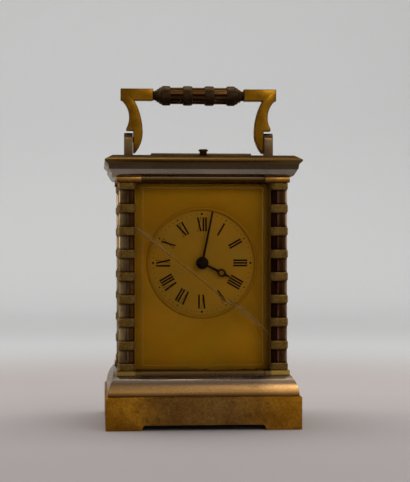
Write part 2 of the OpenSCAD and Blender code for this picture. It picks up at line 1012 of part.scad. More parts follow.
module door_knob() {
    color("gold")
        translate([door_knob_x(), column_y + door_t / 2, z_knob()])
            rotate([-90, 0, 0]) {
                translate([0, 0, -1])
                    cylinder(h = 1, r = 1);
                cylinder(h = 1.2, r = knob_r * 0.6);
                translate([0, 0, 1.2])
                    cylinder(h = 1.3, r = knob_r);
                translate([0, 0, 2.5])
                    cylinder(h = 0.5, r1 = knob_r, r2 = knob_r * 0.7);
            }
}

module handle_posts() {
    color("silver")
        for (side = [0, 1])
            mirror([side, 0, 0])
                difference() {
                    sideways(post_in, post_in + post_t) {
                        translate([-post_r, z_top])
                            square([2 * post_r, pivot_up]);
                        translate([0, z_pivot])
                            circle(post_r);
                    }
                    translate([0, 0, z_pivot])
                        bar_x(pivot_r, post_in - cut, post_in + post_t + cut);
                }
}

// Screws threaded in the posts, on whose plain shanks the arms turn. Their heads are sunk
// in the arms.
module handle_pivots() {
    color("goldenrod")
        for (side = [0, 1])
            mirror([side, 0, 0])
                translate([0, 0, z_pivot]) {
                    bar_x(pivot_r, pivot_head_x, post_in + post_t);
                    bar_x(pivot_head_r, pivot_head_x, pivot_head_x + pivot_head_h);
                }
}

// The arm's belly from z0 to z1, as an arc about a point at the belly's own height
module belly(r, z0, z1) {
    intersection() {
        translate([arm_belly_x + r, arm_belly_z])
            circle(r, $fn = 128);
        translate([0, z0])
            square([bar_out, z1 - z0]);
    }
}

// One arm from its tail below the pivot, over the post's head and out to its bar
module arm_outline() {
    difference() {
        union() {
            belly(belly_upper_r, arm_belly_z, bar_z + 1);
            belly(belly_lower_r, -arm_tail, arm_belly_z + 1);
        }
        translate([arm_throat_x, arm_throat_z])
            circle(arm_throat_r, $fn = 128);
        translate([arm_face, -arm_tail - cut])
            square([bar_out, arm_tail + cut + arm_toe_z]);
        translate([arm_toe, -arm_tail])
            square([bar_out, arm_tail + arm_throat_z - 4]);
    }
}

module handle_arm(left) {
    color("peru")
        mirror([left ? 1 : 0, 0, 0])
            translate([0, 0, z_pivot])
                difference() {
                    union() {
                        upright(-arm_d / 2, arm_d / 2)
                            arm_outline();
                        translate([bar_in, -arm_d / 2, bar_z])
                            cube([bar_out - bar_in, arm_d, bar_h]);
                    }
                    bar_x(pivot_r + run_fit, 0, bar_out + cut);
                    bar_x(pivot_head_r + pass_gap, 0, pivot_head_x + pivot_head_h + pass_gap);
                    translate([0, 0, grip_up])
                        bar_x(spigot_r + run_fit, 0, bar_in + spigot_len + slip);
                }
}

// Reeded grip with four bands, a collar and a neck at each end, on one long spindle
module handle_grip() {
    color("sienna")
        translate([0, 0, z_grip]) {
            rotate([90, 0, 90])
                linear_extrude(2 * collar_out, center = true) {
                    circle(grip_r - reed_r * 0.8);
                    for (i = [0 : reed_count - 1])
                        rotate(i * 360 / reed_count)
                            translate([grip_r - reed_r, 0])
                                circle(reed_r, $fn = 24);
                }
            for (x = [-1.5, -0.5, 0.5, 1.5] * grip_pitch())
                bar_x(grip_band_r, x - grip_band_w / 2, x + grip_band_w / 2);
            for (side = [-1, 1])
                rotate([0, side * 90, 0]) {
                    translate([0, 0, collar_out])
                        cylinder(h = bar_in - collar_out - 1.4, r1 = grip_r, r2 = neck_r);
                    translate([0, 0, collar_out])
                        cylinder(h = bar_in - collar_out, r = neck_r);
                    translate([0, 0, bar_in])
                        cylinder(h = spigot_len, r = spigot_r);
                }
        }
}

function grip_pitch() = (2 * collar_out - grip_band_w) / 3;

module repeat_button() {
    head_z = z_top + button_travel + pass_gap + button_head;
    color("gold")
        translate([0, button_y, 0]) {
            translate([0, 0, head_z - button_head])
                cylinder(h = button_head * 0.6, r = button_r);
            translate([0, 0, head_z - button_head * 0.4])
                cylinder(h = button_head * 0.4, r1 = button_r, r2 = button_r * 0.8);
            translate([0, 0, z_top - top_t])
                cylinder(h = head_z - button_head - z_top + top_t, r = button_neck_r);
            translate([0, 0, repeat_pivot_z + repeat_pad + pass_gap])
                cylinder(h = z_top - top_t - repeat_pivot_z - repeat_pad - pass_gap, r = stem_r);
        }
}

// Rocker that turns the button's push into a lift behind the front plate
module repeat_lever() {
    color("lightsteelblue") {
        translate([0, repeat_pivot_y, repeat_pivot_z])
            sideways(-cheek_x + pass_gap, cheek_x - pass_gap) {
                circle(repeat_boss_r);
                translate([-repeat_arm - repeat_over, -repeat_pad])
                    square([2 * repeat_arm, 2 * repeat_pad]);
            }
        repeat_pin(0, 0);
    }
}

module dial() {
    color("khaki") {
        difference() {
            bar_y(centre_at, dial_r + dial_lap, dial_y, dial_y + dial_t);
            bar_y(centre_at, hour_pipe_r + pass_gap, dial_y - cut, dial_y + dial_t + cut);
        }
        for (a = [30, 150, 270])
            bar_y(centre_at + polar(dial_r - 2, a), 0.9, dial_y + dial_t, front_plate_y + plate_t);
    }
}

module dial_mask() {
    w = 2 * (column_x - glass_t / 2 - slip) - 1;
    h = column_h - 0.5;
    color("goldenrod")
        difference() {
            translate([-w / 2, mask_y, z_sill])
                cube([w, mask_t, h]);
            bar_y(centre_at, dial_r, mask_y - cut, mask_y + mask_t + cut);
            translate([0, mask_y, dial_z])
                rotate([-90, 0, 0])
                    cylinder(h = mask_t * 0.7, r1 = dial_r + 0.8, r2 = dial_r);
        }
}

module hand_bar(from, to, w0, w1) {
    polygon([[-w0 / 2, from], [w0 / 2, from], [w1 / 2, to], [-w1 / 2, to]]);
}

module hour_hand() {
    ring_at = 11.9;
    color("midnightblue")
        upright(hour_hand_y, hour_hand_y + hand_t)
            translate(centre_at)
                rotate(-hour_turn)
                    difference() {
                        union() {
                            circle(boss_r - 0.4);
                            hand_bar(0, ring_at, 1.3, 1);
                            translate([0, ring_at])
                                circle(1.7);
                            hand_bar(ring_at, hour_len, 1.4, 0.4);
                        }
                        circle(pipe_r + slip);
                        translate([0, ring_at])
                            circle(0.95);
                    }
}

module minute_hand() {
    color("midnightblue")
        upright(minute_hand_y, minute_hand_y + hand_t)
            translate(centre_at)
                rotate(-minute_turn)
                    difference() {
                        union() {
                            circle(boss_r - 0.8);
                            hand_bar(0, minute_len, 1.3, 0.5);
                        }
                        circle(centre_r);
                    }
}

module hand_boss() {
    color("black")
        translate([0, minute_hand_y, dial_z])
            rotate([90, 0, 0])
                difference() {
                    rotate_extrude()
                        intersection() {
                            translate([0, hand_boss_h - hand_boss_r])
                                circle(hand_boss_r);
                            square([boss_r, hand_boss_h]);
                        }
                    translate([0, 0, -cut])
                        cylinder(h = cut + 0.8, r = centre_r);
                }
}

// A pinion whose gap between two leaves faces the wheel at the given point
module pinion(p, n, m, wheel_at, y0, y1) {
    upright(y0, y1)
        translate(p)
            polygon(pinion_outline(n, m, bearing(p, wheel_at) + 180 / n));
}

// A crossed-out wheel with a tooth that faces the pinion at the given point
module wheel(p, n, m, pinion_at, y, t, spokes, hub_r, bore_r = 0, rim = rim_share) {
    rim_r = n * m / 2 - rim * m;
    phase = bearing(p, pinion_at);
    upright(y, y + t)
        translate(p)
            difference() {
                polygon(wheel_outline(n, m, phase));
                difference() {
                    circle(rim_r);
                    circle(hub_r);
                    for (i = [0 : spokes - 1])
                        rotate(phase + i * 360 / spokes)
                            translate([0, -m])
                                square([rim_r + m, 2 * m]);
                }
                if (bore_r > 0)
                    circle(bore_r);
            }
}

// An arbor with thinner pivots that run in both plates
module train_arbor(p) {
    bar_y(p, arbor_r, inner_y + pass_gap, back_y - pass_gap);
    bar_y(p, pivot_r_small, front_plate_y + pass_gap, rear_y - pass_gap);
}

module cannon_pinion() {
    y1 = cannon_y + cannon_len;
    color("gold")
        difference() {
            union() {
                pinion(centre_at, cannon_n, motion_m, motion_at, cannon_y, y1);
                bar_y(centre_at, pipe_r, minute_hand_y + hand_t, cannon_y);
            }
            bar_y(centre_at, centre_r, minute_hand_y - cut, y1 + cut);
        }
}

module minute_wheel() {
    y = cannon_y + 0.2;
    bore_r = pivot_r_small + run_fit;
    color("gold")
        difference() {
            union() {
                wheel(motion_at, minute_n, motion_m, centre_at, y, wheel_t, 4, 2);
                pinion(motion_at, minute_pinion_n, hour_m, centre_at, hour_wheel_y - 0.4, y);
            }
            bar_y(motion_at, bore_r, hour_wheel_y - cut, y + wheel_t + cut);
        }
}

module hour_wheel() {
    bore_r = pipe_r + run_fit;
    hub_r = hour_pipe_r + 0.8;
    color("gold")
        difference() {
            union() {
                wheel(centre_at, hour_n, hour_m, motion_at, hour_wheel_y, wheel_t, 4, hub_r);
                bar_y(centre_at, hour_pipe_r, hour_hand_y + hand_t, hour_wheel_y);
            }
            bar_y(centre_at, bore_r, hour_hand_y - cut, hour_wheel_y + wheel_t + cut);
        }
}

// Outline of both plates, with the upper corners cut off
module plate_outline() {
    corner = 2;
    translate([-plate_w / 2, plate_z])
        polygon([
            [0, 0],
            [plate_w, 0],
            [plate_w, plate_h - corner],
            [plate_w - corner, plate_h],
            [corner, plate_h],
            [0, plate_h - corner]
        ]);
}

module plate_holes() {
    for (p = [inter_at, third_at, contrate_at, strike_wheel_at, pin_wheel_at, fly_at])
        translate(p)
            circle(pivot_r_small + run_fit);
    for (p = [going_at, strike_at])
        translate(p)
            circle(barrel_arbor_r + run_fit);
    translate(centre_at)
        circle(centre_r + run_fit);
    translate(hammer_at)
        circle(arbor_r + run_fit);
    for (p = pillar_places)
        translate(p)
            circle(arbor_r + slip);
}

module front_plate() {
    color("goldenrod") {
        difference() {
            upright(front_plate_y, inner_y)
                plate_outline();
            upright(front_plate_y - cut, inner_y + cut)
                plate_holes();
            for (a = [30, 150, 270])
                bar_y(centre_at + polar(dial_r - 2, a), 0.9, front_plate_y - cut, inner_y + cut);
        }
        bar_y(motion_at, pivot_r_small, hour_wheel_y - 0.8, front_plate_y);
    }
}

module back_plate() {
    color("goldenrod")
        difference() {
            upright(back_y, rear_y)
                plate_outline();
            upright(back_y - cut, rear_y + cut)
                plate_holes();
        }
}

module plate_pillars() {
    color("gold")
        for (p = pillar_places)
            translate([p.x, inner_y, p.y])
                rotate([-90, 0, 0])
                    rotate_extrude()
                        difference() {
                            square([pillar_r + 0.6, plate_gap]);
                            translate([0, 2])
                                difference() {
                                    translate([pillar_r, 0])
                                        square([pillar_r, plate_gap - 4]);
                                    for (y = [plate_gap / 2 - 2 - 1.2])
                                        translate([0, y])
                                            square([pillar_r + 0.6, 2.4]);
                                }
                        }
}

module plate_screws() {
    color("steelblue")
        for (p = pillar_places) {
            bar_y(p, pillar_r, front_plate_y - 1.4, front_plate_y);
            bar_y(p, arbor_r, front_plate_y, inner_y);
            bar_y(p, pillar_r, rear_y, rear_y + 1.4);
            bar_y(p, arbor_r, back_y, rear_y);
        }
}

// Barrel with its great wheel at the front and a turned cap at the back
module barrel(p, pinion_at) {
    drum_y0 = great_y + great_t;
    drum_y1 = drum_y0 + drum_len;
    color("gold")
        difference() {
            union() {
                upright(great_y, drum_y0)
                    translate(p)
                        polygon(wheel_outline(great_n, great_m, bearing(p, pinion_at)));
                bar_y(p, barrel_r, drum_y0, drum_y1);
                bar_y(p, barrel_r - 1.2, drum_y1, drum_y1 + 0.6);
            }
            bar_y(p, barrel_arbor_r + run_fit, great_y - cut, drum_y1 + 2 * cut);
        }
}

// Arbor that runs through a barrel and the back plate to its ratchet and winding square
module barrel_arbor(p) {
    round_y1 = rear_y + square_out / 2;
    color("silver") {
        bar_y(p, barrel_arbor_r, front_plate_y + pass_gap, round_y1);
        bar_y(p, barrel_arbor_r + 1, inter_y + inter_t + pass_gap, great_y - pass_gap);
        upright(round_y1, rear_y + square_out)
            translate(p - [square_w, square_w] / 2)
                square(square_w);
        upright(ratchet_y, ratchet_y + ratchet_t)
            translate(p)
                polygon(ratchet_outline());
    }
}

function ratchet_outline() = [
    for (i = [0 : ratchet_n - 1], k = [0, 1])
        polar(k == 0 ? ratchet_r : ratchet_r - 0.9, (i + k * 0.9) * 360 / ratchet_n)
];

module intermediate_wheel() {
    y = inter_y + inter_t;
    color("gold") {
        wheel(inter_at, inter_n, train_m, centre_at, inter_y, inter_t, 5, 2.4);
        pinion(inter_at, first_pinion_n, great_m, going_at, y, great_y + great_t + leaf_over);
        train_arbor(inter_at);
    }
}

module centre_wheel() {
    y0 = inter_y - leaf_over;
    y1 = inter_y + inter_t + leaf_over;
    color("gold") {
        wheel(centre_at, centre_n, centre_m, third_at, centre_y, wheel_t, 5, 2.6);
        pinion(centre_at, centre_pinion_n, train_m, inter_at, y0, y1);
        bar_y(centre_at, centre_r, minute_hand_y - 0.6, rear_y + 5);
        bar_y(centre_at, centre_r + 0.6, inner_y + pass_gap, back_y - pass_gap);
    }
}

module third_wheel() {
    y0 = centre_y - leaf_over;
    color("gold") {
        wheel(third_at, third_n, fine_m, contrate_at, third_y, wheel_t, 4, 2);
        pinion(third_at, third_pinion_n, centre_m, centre_at, y0, y0 + wheel_t + 2 * leaf_over);
        train_arbor(third_at);
    }
}

// Crown wheel whose teeth stand along Y and face the escape pinion
module contrate_wheel() {
    rim_in = contrate_r - 1.2;
    rim_y = contrate_y + wheel_t;
    crown_y = rim_y + contrate_crown;
    y0 = third_y - leaf_over;
    color("gold") {
        difference() {
            bar_y(contrate_at, contrate_r, contrate_y, crown_y);
            bar_y(contrate_at, rim_in, rim_y, crown_y + cut);
            for (i = [0 : 3])
                bar_y(
                    contrate_at + polar(rim_in * 0.58, 45 + i * 90),
                    rim_in * 0.32,
                    contrate_y - cut,
                    rim_y + cut
                );
            upright(rim_y + 0.6, crown_y + cut)
                translate(contrate_at)
                    for (i = [0 : contrate_teeth / 2 - 1])
                        rotate(i * 360 / contrate_teeth)
                            square([3 * contrate_r, 0.62], center = true);
        }
        pinion(contrate_at, contrate_pinion_n, fine_m, third_at, y0, y0 + wheel_t + 2 * leaf_over);
        train_arbor(contrate_at);
    }
}

module strike_wheel() {
    p = strike_wheel_at;
    y0 = great_y - leaf_over;
    color("gold") {
        wheel(p, strike_n, train_m, pin_wheel_at, strike_y, wheel_t, 4, 2.4);
        pinion(p, first_pinion_n, great_m, strike_at, y0, y0 + great_t + 2 * leaf_over);
        train_arbor(p);
    }
}

// Wheel with a ring of pins that lift the hammer's tail
module pin_wheel() {
    p = pin_wheel_at;
    pins_y = pin_y + wheel_t;
    y0 = strike_y - leaf_over;
    color("gold") {
        wheel(p, pin_n, train_m, fly_at, pin_y, wheel_t, 4, 2.2, 0, pin_rim_share);
        for (i = [0 : pin_count - 1])
            bar_y(p + polar(pin_ring_r, i * 360 / pin_count), pin_r, pins_y, pins_y + 2);
        pinion(p, strike_pinion_n, train_m, strike_wheel_at, y0, y0 + wheel_t + 2 * leaf_over);
        train_arbor(p);
    }
}

// Air brake of the striking train
module fly() {
    vane_w = 11;
    color("lightsteelblue") {
        pinion(fly_at, fly_pinion_n, train_m, pin_wheel_at, pin_y - leaf_over, pin_y + wheel_t + leaf_over);
        train_arbor(fly_at);
        upright(plane(4), plane(14))
            translate(fly_at - [vane_w, 0.6] / 2)
                square([vane_w, 0.6]);
    }
}

// A click and its leaf spring below each ratchet, on the back plate
module winding_clicks() {
    screw_z = -ratchet_r - click_drop;
    leaf_z = screw_z - click_spring_down;
    w = click_w / 2;
    color("steelblue")
        for (side = [-1, 1])
            translate([side * barrel_x, 0, barrel_z]) {
                bar_y([0, screw_z], click_screw_r, rear_y, ratchet_y + ratchet_t + click_over);
                upright(ratchet_y, ratchet_y + ratchet_t)
                    polygon([
                        [-w, screw_z],
                        [w, screw_z],
                        polar(ratchet_r + w, -58),
                        polar(ratchet_r + pass_gap, -68)
                    ]);
                upright(rear_y, rear_y + 1) {
                    translate([-click_spring_len, leaf_z])
                        square([click_spring_len, 1]);
                    translate([-click_spring_len, leaf_z + 0.5])
                        circle(click_spring_eye_r);
                }
            }
}

// Hammer on its arbor, with a tail near the pins and a head beside the gong
module hammer() {
    tail = norm(pin_wheel_at - hammer_at) - pin_ring_r - pin_r - pass_gap;
    color("silver") {
        bar_y(hammer_at, arbor_r, front_plate_y + pass_gap, gong_y + 1);
        upright(pin_y + wheel_t + 0.5, pin_y + wheel_t + 1.7)
            translate(hammer_at) {
                circle(hammer_hub_r);
                rotate(bearing(hammer_at, pin_wheel_at))
                    translate([0, -hammer_tail_w / 2])
                        square([tail, hammer_tail_w]);
            }
        upright(gong_y - hammer_stem_w / 2, gong_y + hammer_stem_w / 2)
            translate(hammer_at) {
                circle(hammer_hub_r);
                rotate(bearing(hammer_at, [hammer_head_x, dial_z]))
                    translate([0, -hammer_stem_w / 2])
                        square([norm([hammer_head_x, dial_z] - hammer_at), hammer_stem_w]);
            }
        bar_y([hammer_head_x, dial_z], hammer_r, gong_y - hammer_half, gong_y + hammer_half);
    }
}

// Rings of points swept into one closed tube of rectangular section
function ring_faces(rings, sides) = concat(
    [[for (k = [sides - 1 : -1 : 0]) k]],
    [
        for (i = [0 : rings - 2], k = [0 : sides - 1])
            let (a = i * sides, b = a + sides, n = (k + 1) % sides)
            [a + k, a + n, b + n]
    ],
    [
        for (i = [0 : rings - 2], k = [0 : sides - 1])
            let (a = i * sides, b = a + sides, n = (k + 1) % sides)
            [a + k, b + n, b + k]
    ],
    [[for (k = [0 : sides - 1]) (rings - 1) * sides + k]]
);

// A flat spiral strip about the Z axis: half_w is half its radial width, half_t half its height
module spiral_strip(r0, pitch, turns, start, half_w, half_t, per_turn) {
    rings = round(turns * per_turn) + 1;
    points = [
        for (i = [0 : rings - 1], k = [0 : 3])
            let (
                a = start + i * 360 / per_turn,
                r = r0 + pitch * i / per_turn + half_w * [-1, 1, 1, -1][k],
                z = half_t * [-1, -1, 1, 1][k]
            )
            [r * cos(a), r * sin(a), z]
    ];
    gaps = [
        for (i = [0 : rings - per_turn - 2], j = [-1 : 1])
            norm(points[4 * i + 1] - points[4 * (i + per_turn + j)])
    ];
    polyhedron(points, ring_faces(rings, 4));
    echo(str("least gap between the turns of a spiral, from its points: ", min(gaps)));
}

module gong() {
    color("midnightblue")
        translate([0, gong_y, dial_z])
            rotate([90, 0, 0])
                spiral_strip(gong_in, gong_pitch, gong_turns, gong_start, gong_half_w, gong_half_t, 24);
}

// Post on the back plate with a block against the gong's inner end
module gong_post() {
    block = 3.4;
    z = dial_z - gong_in;
    y = gong_y - gong_half_t - 1;
    color("silver") {
        bar_y([-block / 2, z], block / 2, rear_y, y);
        translate([-block, y, z - block / 2])
            cube([block, 2 * gong_half_t + 2, block]);
    }
}

module platform() {
    y0 = min(front_plate_y, cock_foot_y - 0.5);
    color("gold")
        difference() {
            translate([-platform_w / 2, y0, plate_top])
                cube([platform_w, rear_y - y0, platform_t]);
            translate([escape_at.x, escape_at.y, plate_top - cut])
                cylinder(h = platform_t + 2 * cut, r = 1.6);
            translate([balance_at.x, balance_at.y, plate_top - cut])
                cylinder(h = platform_t + 2 * cut, r = staff_r + run_fit);
            translate([0, lever_y, plate_top - cut])
                cylinder(h = platform_t + 2 * cut, r = staff_r + run_fit);
        }
}

// Bridge over the escape wheel and the lever
module platform_bridge() {
    foot_x = 8;
    arm = 3;
    h = z_bridge - z_platform;
    color("gold")
        difference() {
            union() {
                translate([foot_x, escape_at.y - arm, z_platform])
                    cube([4, 2 * arm, h + bridge_t]);
                translate([-arm / 2, escape_at.y - arm / 2, z_bridge])
                    cube([foot_x + arm / 2 + 1, arm, bridge_t]);
                translate([-arm / 2, lever_y - arm / 2, z_bridge])
                    cube([arm, lever_reach + arm, bridge_t]);
            }
            for (y = [escape_at.y, lever_y])
                translate([0, y, z_bridge - cut])
                    cylinder(h = bridge_t + 2 * cut, r = staff_r + run_fit);
        }
}

module escape_wheel() {
    outline = [
        for (i = [0 : escape_teeth - 1], k = [0, 1])
            polar(k == 0 ? escape_r : escape_r - 1.1, (i + k * 0.35) * 360 / escape_teeth)
    ];
    color("gold")
        translate([escape_at.x, escape_at.y, 0]) {
            translate([0, 0, z_escape])
                linear_extrude(0.6)
                    difference() {
                        polygon(outline);
                        difference() {
                            circle(escape_r - 1.8);
                            circle(0.9);
                            for (i = [0 : 3])
                                rotate(i * 90)
                                    translate([0, -0.3])
                                        square([escape_r, 0.6]);
                        }
                    }
            translate([0, 0, escape_low])
                cylinder(h = z_bridge + bridge_t - slip - escape_low, r = staff_r);
            translate([0, 0, escape_low + 1])
                linear_extrude(plate_top - 3 - escape_low)
                    polygon(pinion_outline(8, escape_m, 0));
        }
}

module pallet_lever() {
    color("silver")
        translate([0, lever_y, 0]) {
            translate([0, 0, plate_top])
                cylinder(h = z_bridge + bridge_t - slip - plate_top, r = staff_r);
            translate([0, 0, z_escape])
                linear_extrude(0.6) {
                    circle(1);
                    translate([-0.4, -lever_reach])
                        square([0.8, lever_reach]);
                    translate([-4.6, -0.5])
                        square([9.2, 1]);
                    for (side = [-1, 1])
                        translate([side * 4.1 - 0.5, 0])
                            square([1, 2.2]);
                }
        }
}

module balance_wheel() {
    rim_in = balance_r - balance_rim;
    screws = 12;
    color("gold")
        translate([balance_at.x, balance_at.y, 0]) {
            translate([0, 0, z_balance])
                linear_extrude(balance_t)
                    difference() {
                        circle(balance_r);
                        difference() {
                            circle(rim_in);
                            circle(balance_hub_r);
                            for (i = [0 : 2])
                                rotate(i * 120)
                                    translate([0, -0.5])
                                        square([balance_r - 0.4, 1]);
                        }
                    }
            for (i = [0 : screws - 1])
                rotate([0, 0, 15 + i * 360 / screws])
                    translate([0, 0, z_balance + balance_t / 2])
                        bar_x(balance_screw_r, rim_in + 0.4, balance_r + balance_screw_r);
            translate([0, 0, plate_top])
                cylinder(h = z_cock + cock_t - plate_top - slip, r = staff_r);
            translate([0, 0, z_escape + 0.9])
                cylinder(h = 0.6, r = roller_r);
            translate([0, 0, z_balance + balance_t])
                cylinder(h = z_cock - pass_gap - z_balance - balance_t, r = collet_r);
        }
}

module balance_cock() {
    spring_out = spring_in + spring_pitch * spring_turns;
    color("gold")
        difference() {
            union() {
                translate([-cock_w / 2, cock_foot_y, z_platform])
                    cube([cock_w, cock_foot_d, z_cock - z_platform]);
                translate([0, 0, z_cock])
                    linear_extrude(cock_t) {
                        translate([-cock_w / 2, cock_foot_y])
                            square([cock_w, cock_foot_d]);
                        translate([-cock_arm_w / 2, cock_foot_y])
                            square([cock_arm_w, balance_at.y - cock_foot_y]);
                        translate(balance_at)
                            circle(cock_boss_r);
                    }
                translate([balance_at.x, balance_at.y - spring_out - 0.4, z_spring - 0.4])
                    cube([stud_w, stud_w, z_cock - z_spring + 0.4]);
            }
            translate([balance_at.x, balance_at.y, z_cock - cut])
                cylinder(h = cock_t + 2 * cut, r = staff_r + run_fit);
        }
}

module hairspring() {
    color("steelblue")
        translate([balance_at.x, balance_at.y, z_spring])
            spiral_strip(spring_in, spring_pitch, spring_turns, -90, spring_half, 0.25, 20);
}

plinth();
base_casting();
corner_column(false, false);  // column_front_left
corner_column(true, false);  // column_front_right
corner_column(false, true);  // column_rear_left
corner_column(true, true);  // column_rear_right
column_capitals();
case_screws();
cornice();
top_rim();
top_glass();
front_glass();
side_glass(-1);  // left_glass
side_glass(1);  // right_glass
door_frame();
door_glass();
door_pivots();
door_knob();
handle_posts();
handle_pivots();
handle_arm(true);  // handle_arm_left
handle_arm(false);  // handle_arm_right
handle_grip();
repeat_button();
repeat_lever();
dial();
dial_mask();
hour_hand();
minute_hand();
hand_boss();
cannon_pinion();
minute_wheel();
hour_wheel();
front_plate();
back_plate();
plate_pillars();
plate_screws();
barrel(going_at, inter_at);  // going_barrel
barrel_arbor(going_at);  // going_arbor
intermediate_wheel();
centre_wheel();
third_wheel();
contrate_wheel();
barrel(strike_at, strike_wheel_at);  // strike_barrel
barrel_arbor(strike_at);  // strike_arbor
strike_wheel();
pin_wheel();
fly();
winding_clicks();
hammer();
gong();
gong_post();
platform();
platform_bridge();
escape_wheel();
pallet_lever();
balance_wheel();
balance_cock();
hairspring();
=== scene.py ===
# %% [markdown]
# A travelling clock in a glazed gilt case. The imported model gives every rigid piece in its
# place, in metres, with the front towards -Y. This script gives the pieces their finishes,
# adds the fine forms that the solids leave out, and sets up the floor, light and camera.

# %% Load the frame
import json
import math

import bmesh
import bpy
import numpy as np
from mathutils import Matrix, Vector

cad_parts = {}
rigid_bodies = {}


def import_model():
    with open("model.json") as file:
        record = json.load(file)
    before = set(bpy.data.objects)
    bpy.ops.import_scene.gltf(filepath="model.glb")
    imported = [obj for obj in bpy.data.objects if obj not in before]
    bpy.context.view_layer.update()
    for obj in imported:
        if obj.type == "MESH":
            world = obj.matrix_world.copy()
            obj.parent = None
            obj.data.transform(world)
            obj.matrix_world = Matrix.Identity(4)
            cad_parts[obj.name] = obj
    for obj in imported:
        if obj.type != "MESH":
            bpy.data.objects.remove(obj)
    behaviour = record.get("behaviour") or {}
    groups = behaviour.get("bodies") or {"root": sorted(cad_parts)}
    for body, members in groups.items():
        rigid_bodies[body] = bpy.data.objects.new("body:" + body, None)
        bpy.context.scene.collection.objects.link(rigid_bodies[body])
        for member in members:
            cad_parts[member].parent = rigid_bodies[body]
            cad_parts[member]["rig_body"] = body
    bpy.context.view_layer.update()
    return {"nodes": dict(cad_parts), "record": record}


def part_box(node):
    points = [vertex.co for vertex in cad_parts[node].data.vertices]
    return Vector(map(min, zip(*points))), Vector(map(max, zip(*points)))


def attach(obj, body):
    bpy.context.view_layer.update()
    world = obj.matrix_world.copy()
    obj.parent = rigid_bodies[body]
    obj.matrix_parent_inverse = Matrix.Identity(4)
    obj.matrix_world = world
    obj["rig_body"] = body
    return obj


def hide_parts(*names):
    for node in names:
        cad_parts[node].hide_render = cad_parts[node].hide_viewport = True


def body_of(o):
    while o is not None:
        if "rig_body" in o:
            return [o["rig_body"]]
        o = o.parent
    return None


for leftover in list(bpy.data.objects):
    bpy.data.objects.remove(leftover)
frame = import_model()
nodes = frame["nodes"]

# %% [markdown]
# Lengths are in metres, and `mm` turns a maker's millimetres into them. The places that
# pieces share are read from the frame's boxes, so they follow the solids.

# %% Shared places
mm = 0.001
_, plinth_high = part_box("plinth")
_, mould_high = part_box("base_casting")
_, cornice_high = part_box("cornice")
dial_low, dial_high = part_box("dial")
mask_low, mask_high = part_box("dial_mask")
half_w, half_d = plinth_high.x, plinth_high.y
dial_centre = (dial_low + dial_high) / 2
print("half width", round(half_w, 4), "dial centre height", round(dial_centre.z, 4))

# %% [markdown]
# The camera stands level with the dial's lower half, a little to the left. A long lens keeps
# the uprights nearly parallel.

# %% Camera
eye = Vector((-57, -803.9, 100.4)) * mm
turn = math.radians(4.32)
focal_px, picture_h = 1437, 482


def new_object(data):
    thing = bpy.data.objects.new(data.name, data)
    bpy.context.collection.objects.link(thing)
    return thing


def put(data, place_at, direction):
    """A camera or a lamp at a place, looking along a direction."""
    thing = new_object(data)
    thing.location = place_at
    thing.rotation_euler = direction.to_track_quat("-Z", "Y").to_euler()
    return thing


camera_data = bpy.data.cameras.new("camera")
camera_data.sensor_width = 36
camera_data.lens = focal_px * camera_data.sensor_width / picture_h
bpy.context.scene.camera = put(camera_data, eye, Vector((math.sin(turn), math.cos(turn), 0)))
print("lens", round(camera_data.lens, 1), "mm")

# %% [markdown]
# A shader is easier to read as arithmetic. `Shade` wraps one socket: adding or multiplying
# two of them makes the Math node, and `make` adds any other node with its settings and links.

# %% Shader arithmetic
def fill_ramp(ramp, stops):
    """Each stop is a position with the red, green and blue there."""
    while len(ramp.elements) < len(stops):
        ramp.elements.new(0.5)
    for element, (position, *colour) in zip(ramp.elements, stops):
        element.position = position
        element.color = (*colour, 1)


def plug(tree, socket, value):
    """A Shade is linked to the socket, and a number, a colour or a vector is set on it."""
    if isinstance(value, Shade):
        tree.links.new(value.socket, socket)
    elif socket.type == "RGBA":
        socket.default_value = (*value, 1)
    else:
        socket.default_value = value


class Shade:
    """One socket of a node tree, used as a value in an expression."""

    def __init__(self, tree, socket=None):
        self.tree, self.socket = tree, socket

    def make(self, kind, settings=None, out=0, **links):
        node = self.tree.nodes.new(kind if "Node" in kind else "ShaderNode" + kind)
        for key, value in (settings or {}).items():
            if key == "stops":
                fill_ramp(node.color_ramp, value)
            else:
                setattr(node, key, value)
        for key, value in links.items():
            fits = (s for s in node.inputs if key in (s.identifier, s.name.replace(" ", "_")))
            plug(self.tree, next(fits), value)
        return Shade(self.tree, node.outputs[out])

    def math(self, operation, first, second=0.0):
        return self.make("Math", {"operation": operation}, Value=first, Value_001=second)

    __add__ = __radd__ = lambda self, other: self.math("ADD", self, other)
    __mul__ = __rmul__ = lambda self, other: self.math("MULTIPLY", self, other)
    __sub__ = lambda self, other: self.math("SUBTRACT", self, other)
    __rsub__ = lambda self, other: self.math("SUBTRACT", other, self)
    __truediv__ = lambda self, other: self.math("DIVIDE", self, other)
    __abs__ = lambda self: self.math("ABSOLUTE", self)
    at_most = lambda self, other: self.math("MINIMUM", self, other)

    def step(self, low, high):
        """0 below low, 1 above high and smooth between."""
        smooth = {"interpolation_type": "SMOOTHSTEP"}
        return self.make("MapRange", smooth, Value=self, From_Min=low, From_Max=high)

    def ramp(self, *stops):
        return self.make("ValToRGB", {"stops": stops}, Fac=self)

    def mix(self, first, second):
        """Colour first where this is 0, second where it is 1."""
        colours = {"data_type": "RGBA"}
        return self.make("Mix", colours, out=2, Factor_Float=self, A_Color=first, B_Color=second)

    def tint(self, other):
        """This colour times another, channel by channel."""
        product = {"data_type": "RGBA", "blend_type": "MULTIPLY"}
        return self.make("Mix", product, out=2, Factor_Float=1.0, A_Color=self, B_Color=other)

    def parts(self):
        """The X, Y and Z of this vector."""
        split = self.make("SeparateXYZ", Vector=self).socket.node
        return [Shade(self.tree, socket) for socket in split.outputs]


print("shader arithmetic ready")

# %% [markdown]
# Every pattern lies in the piece's own coordinates, so a joint carries it along.

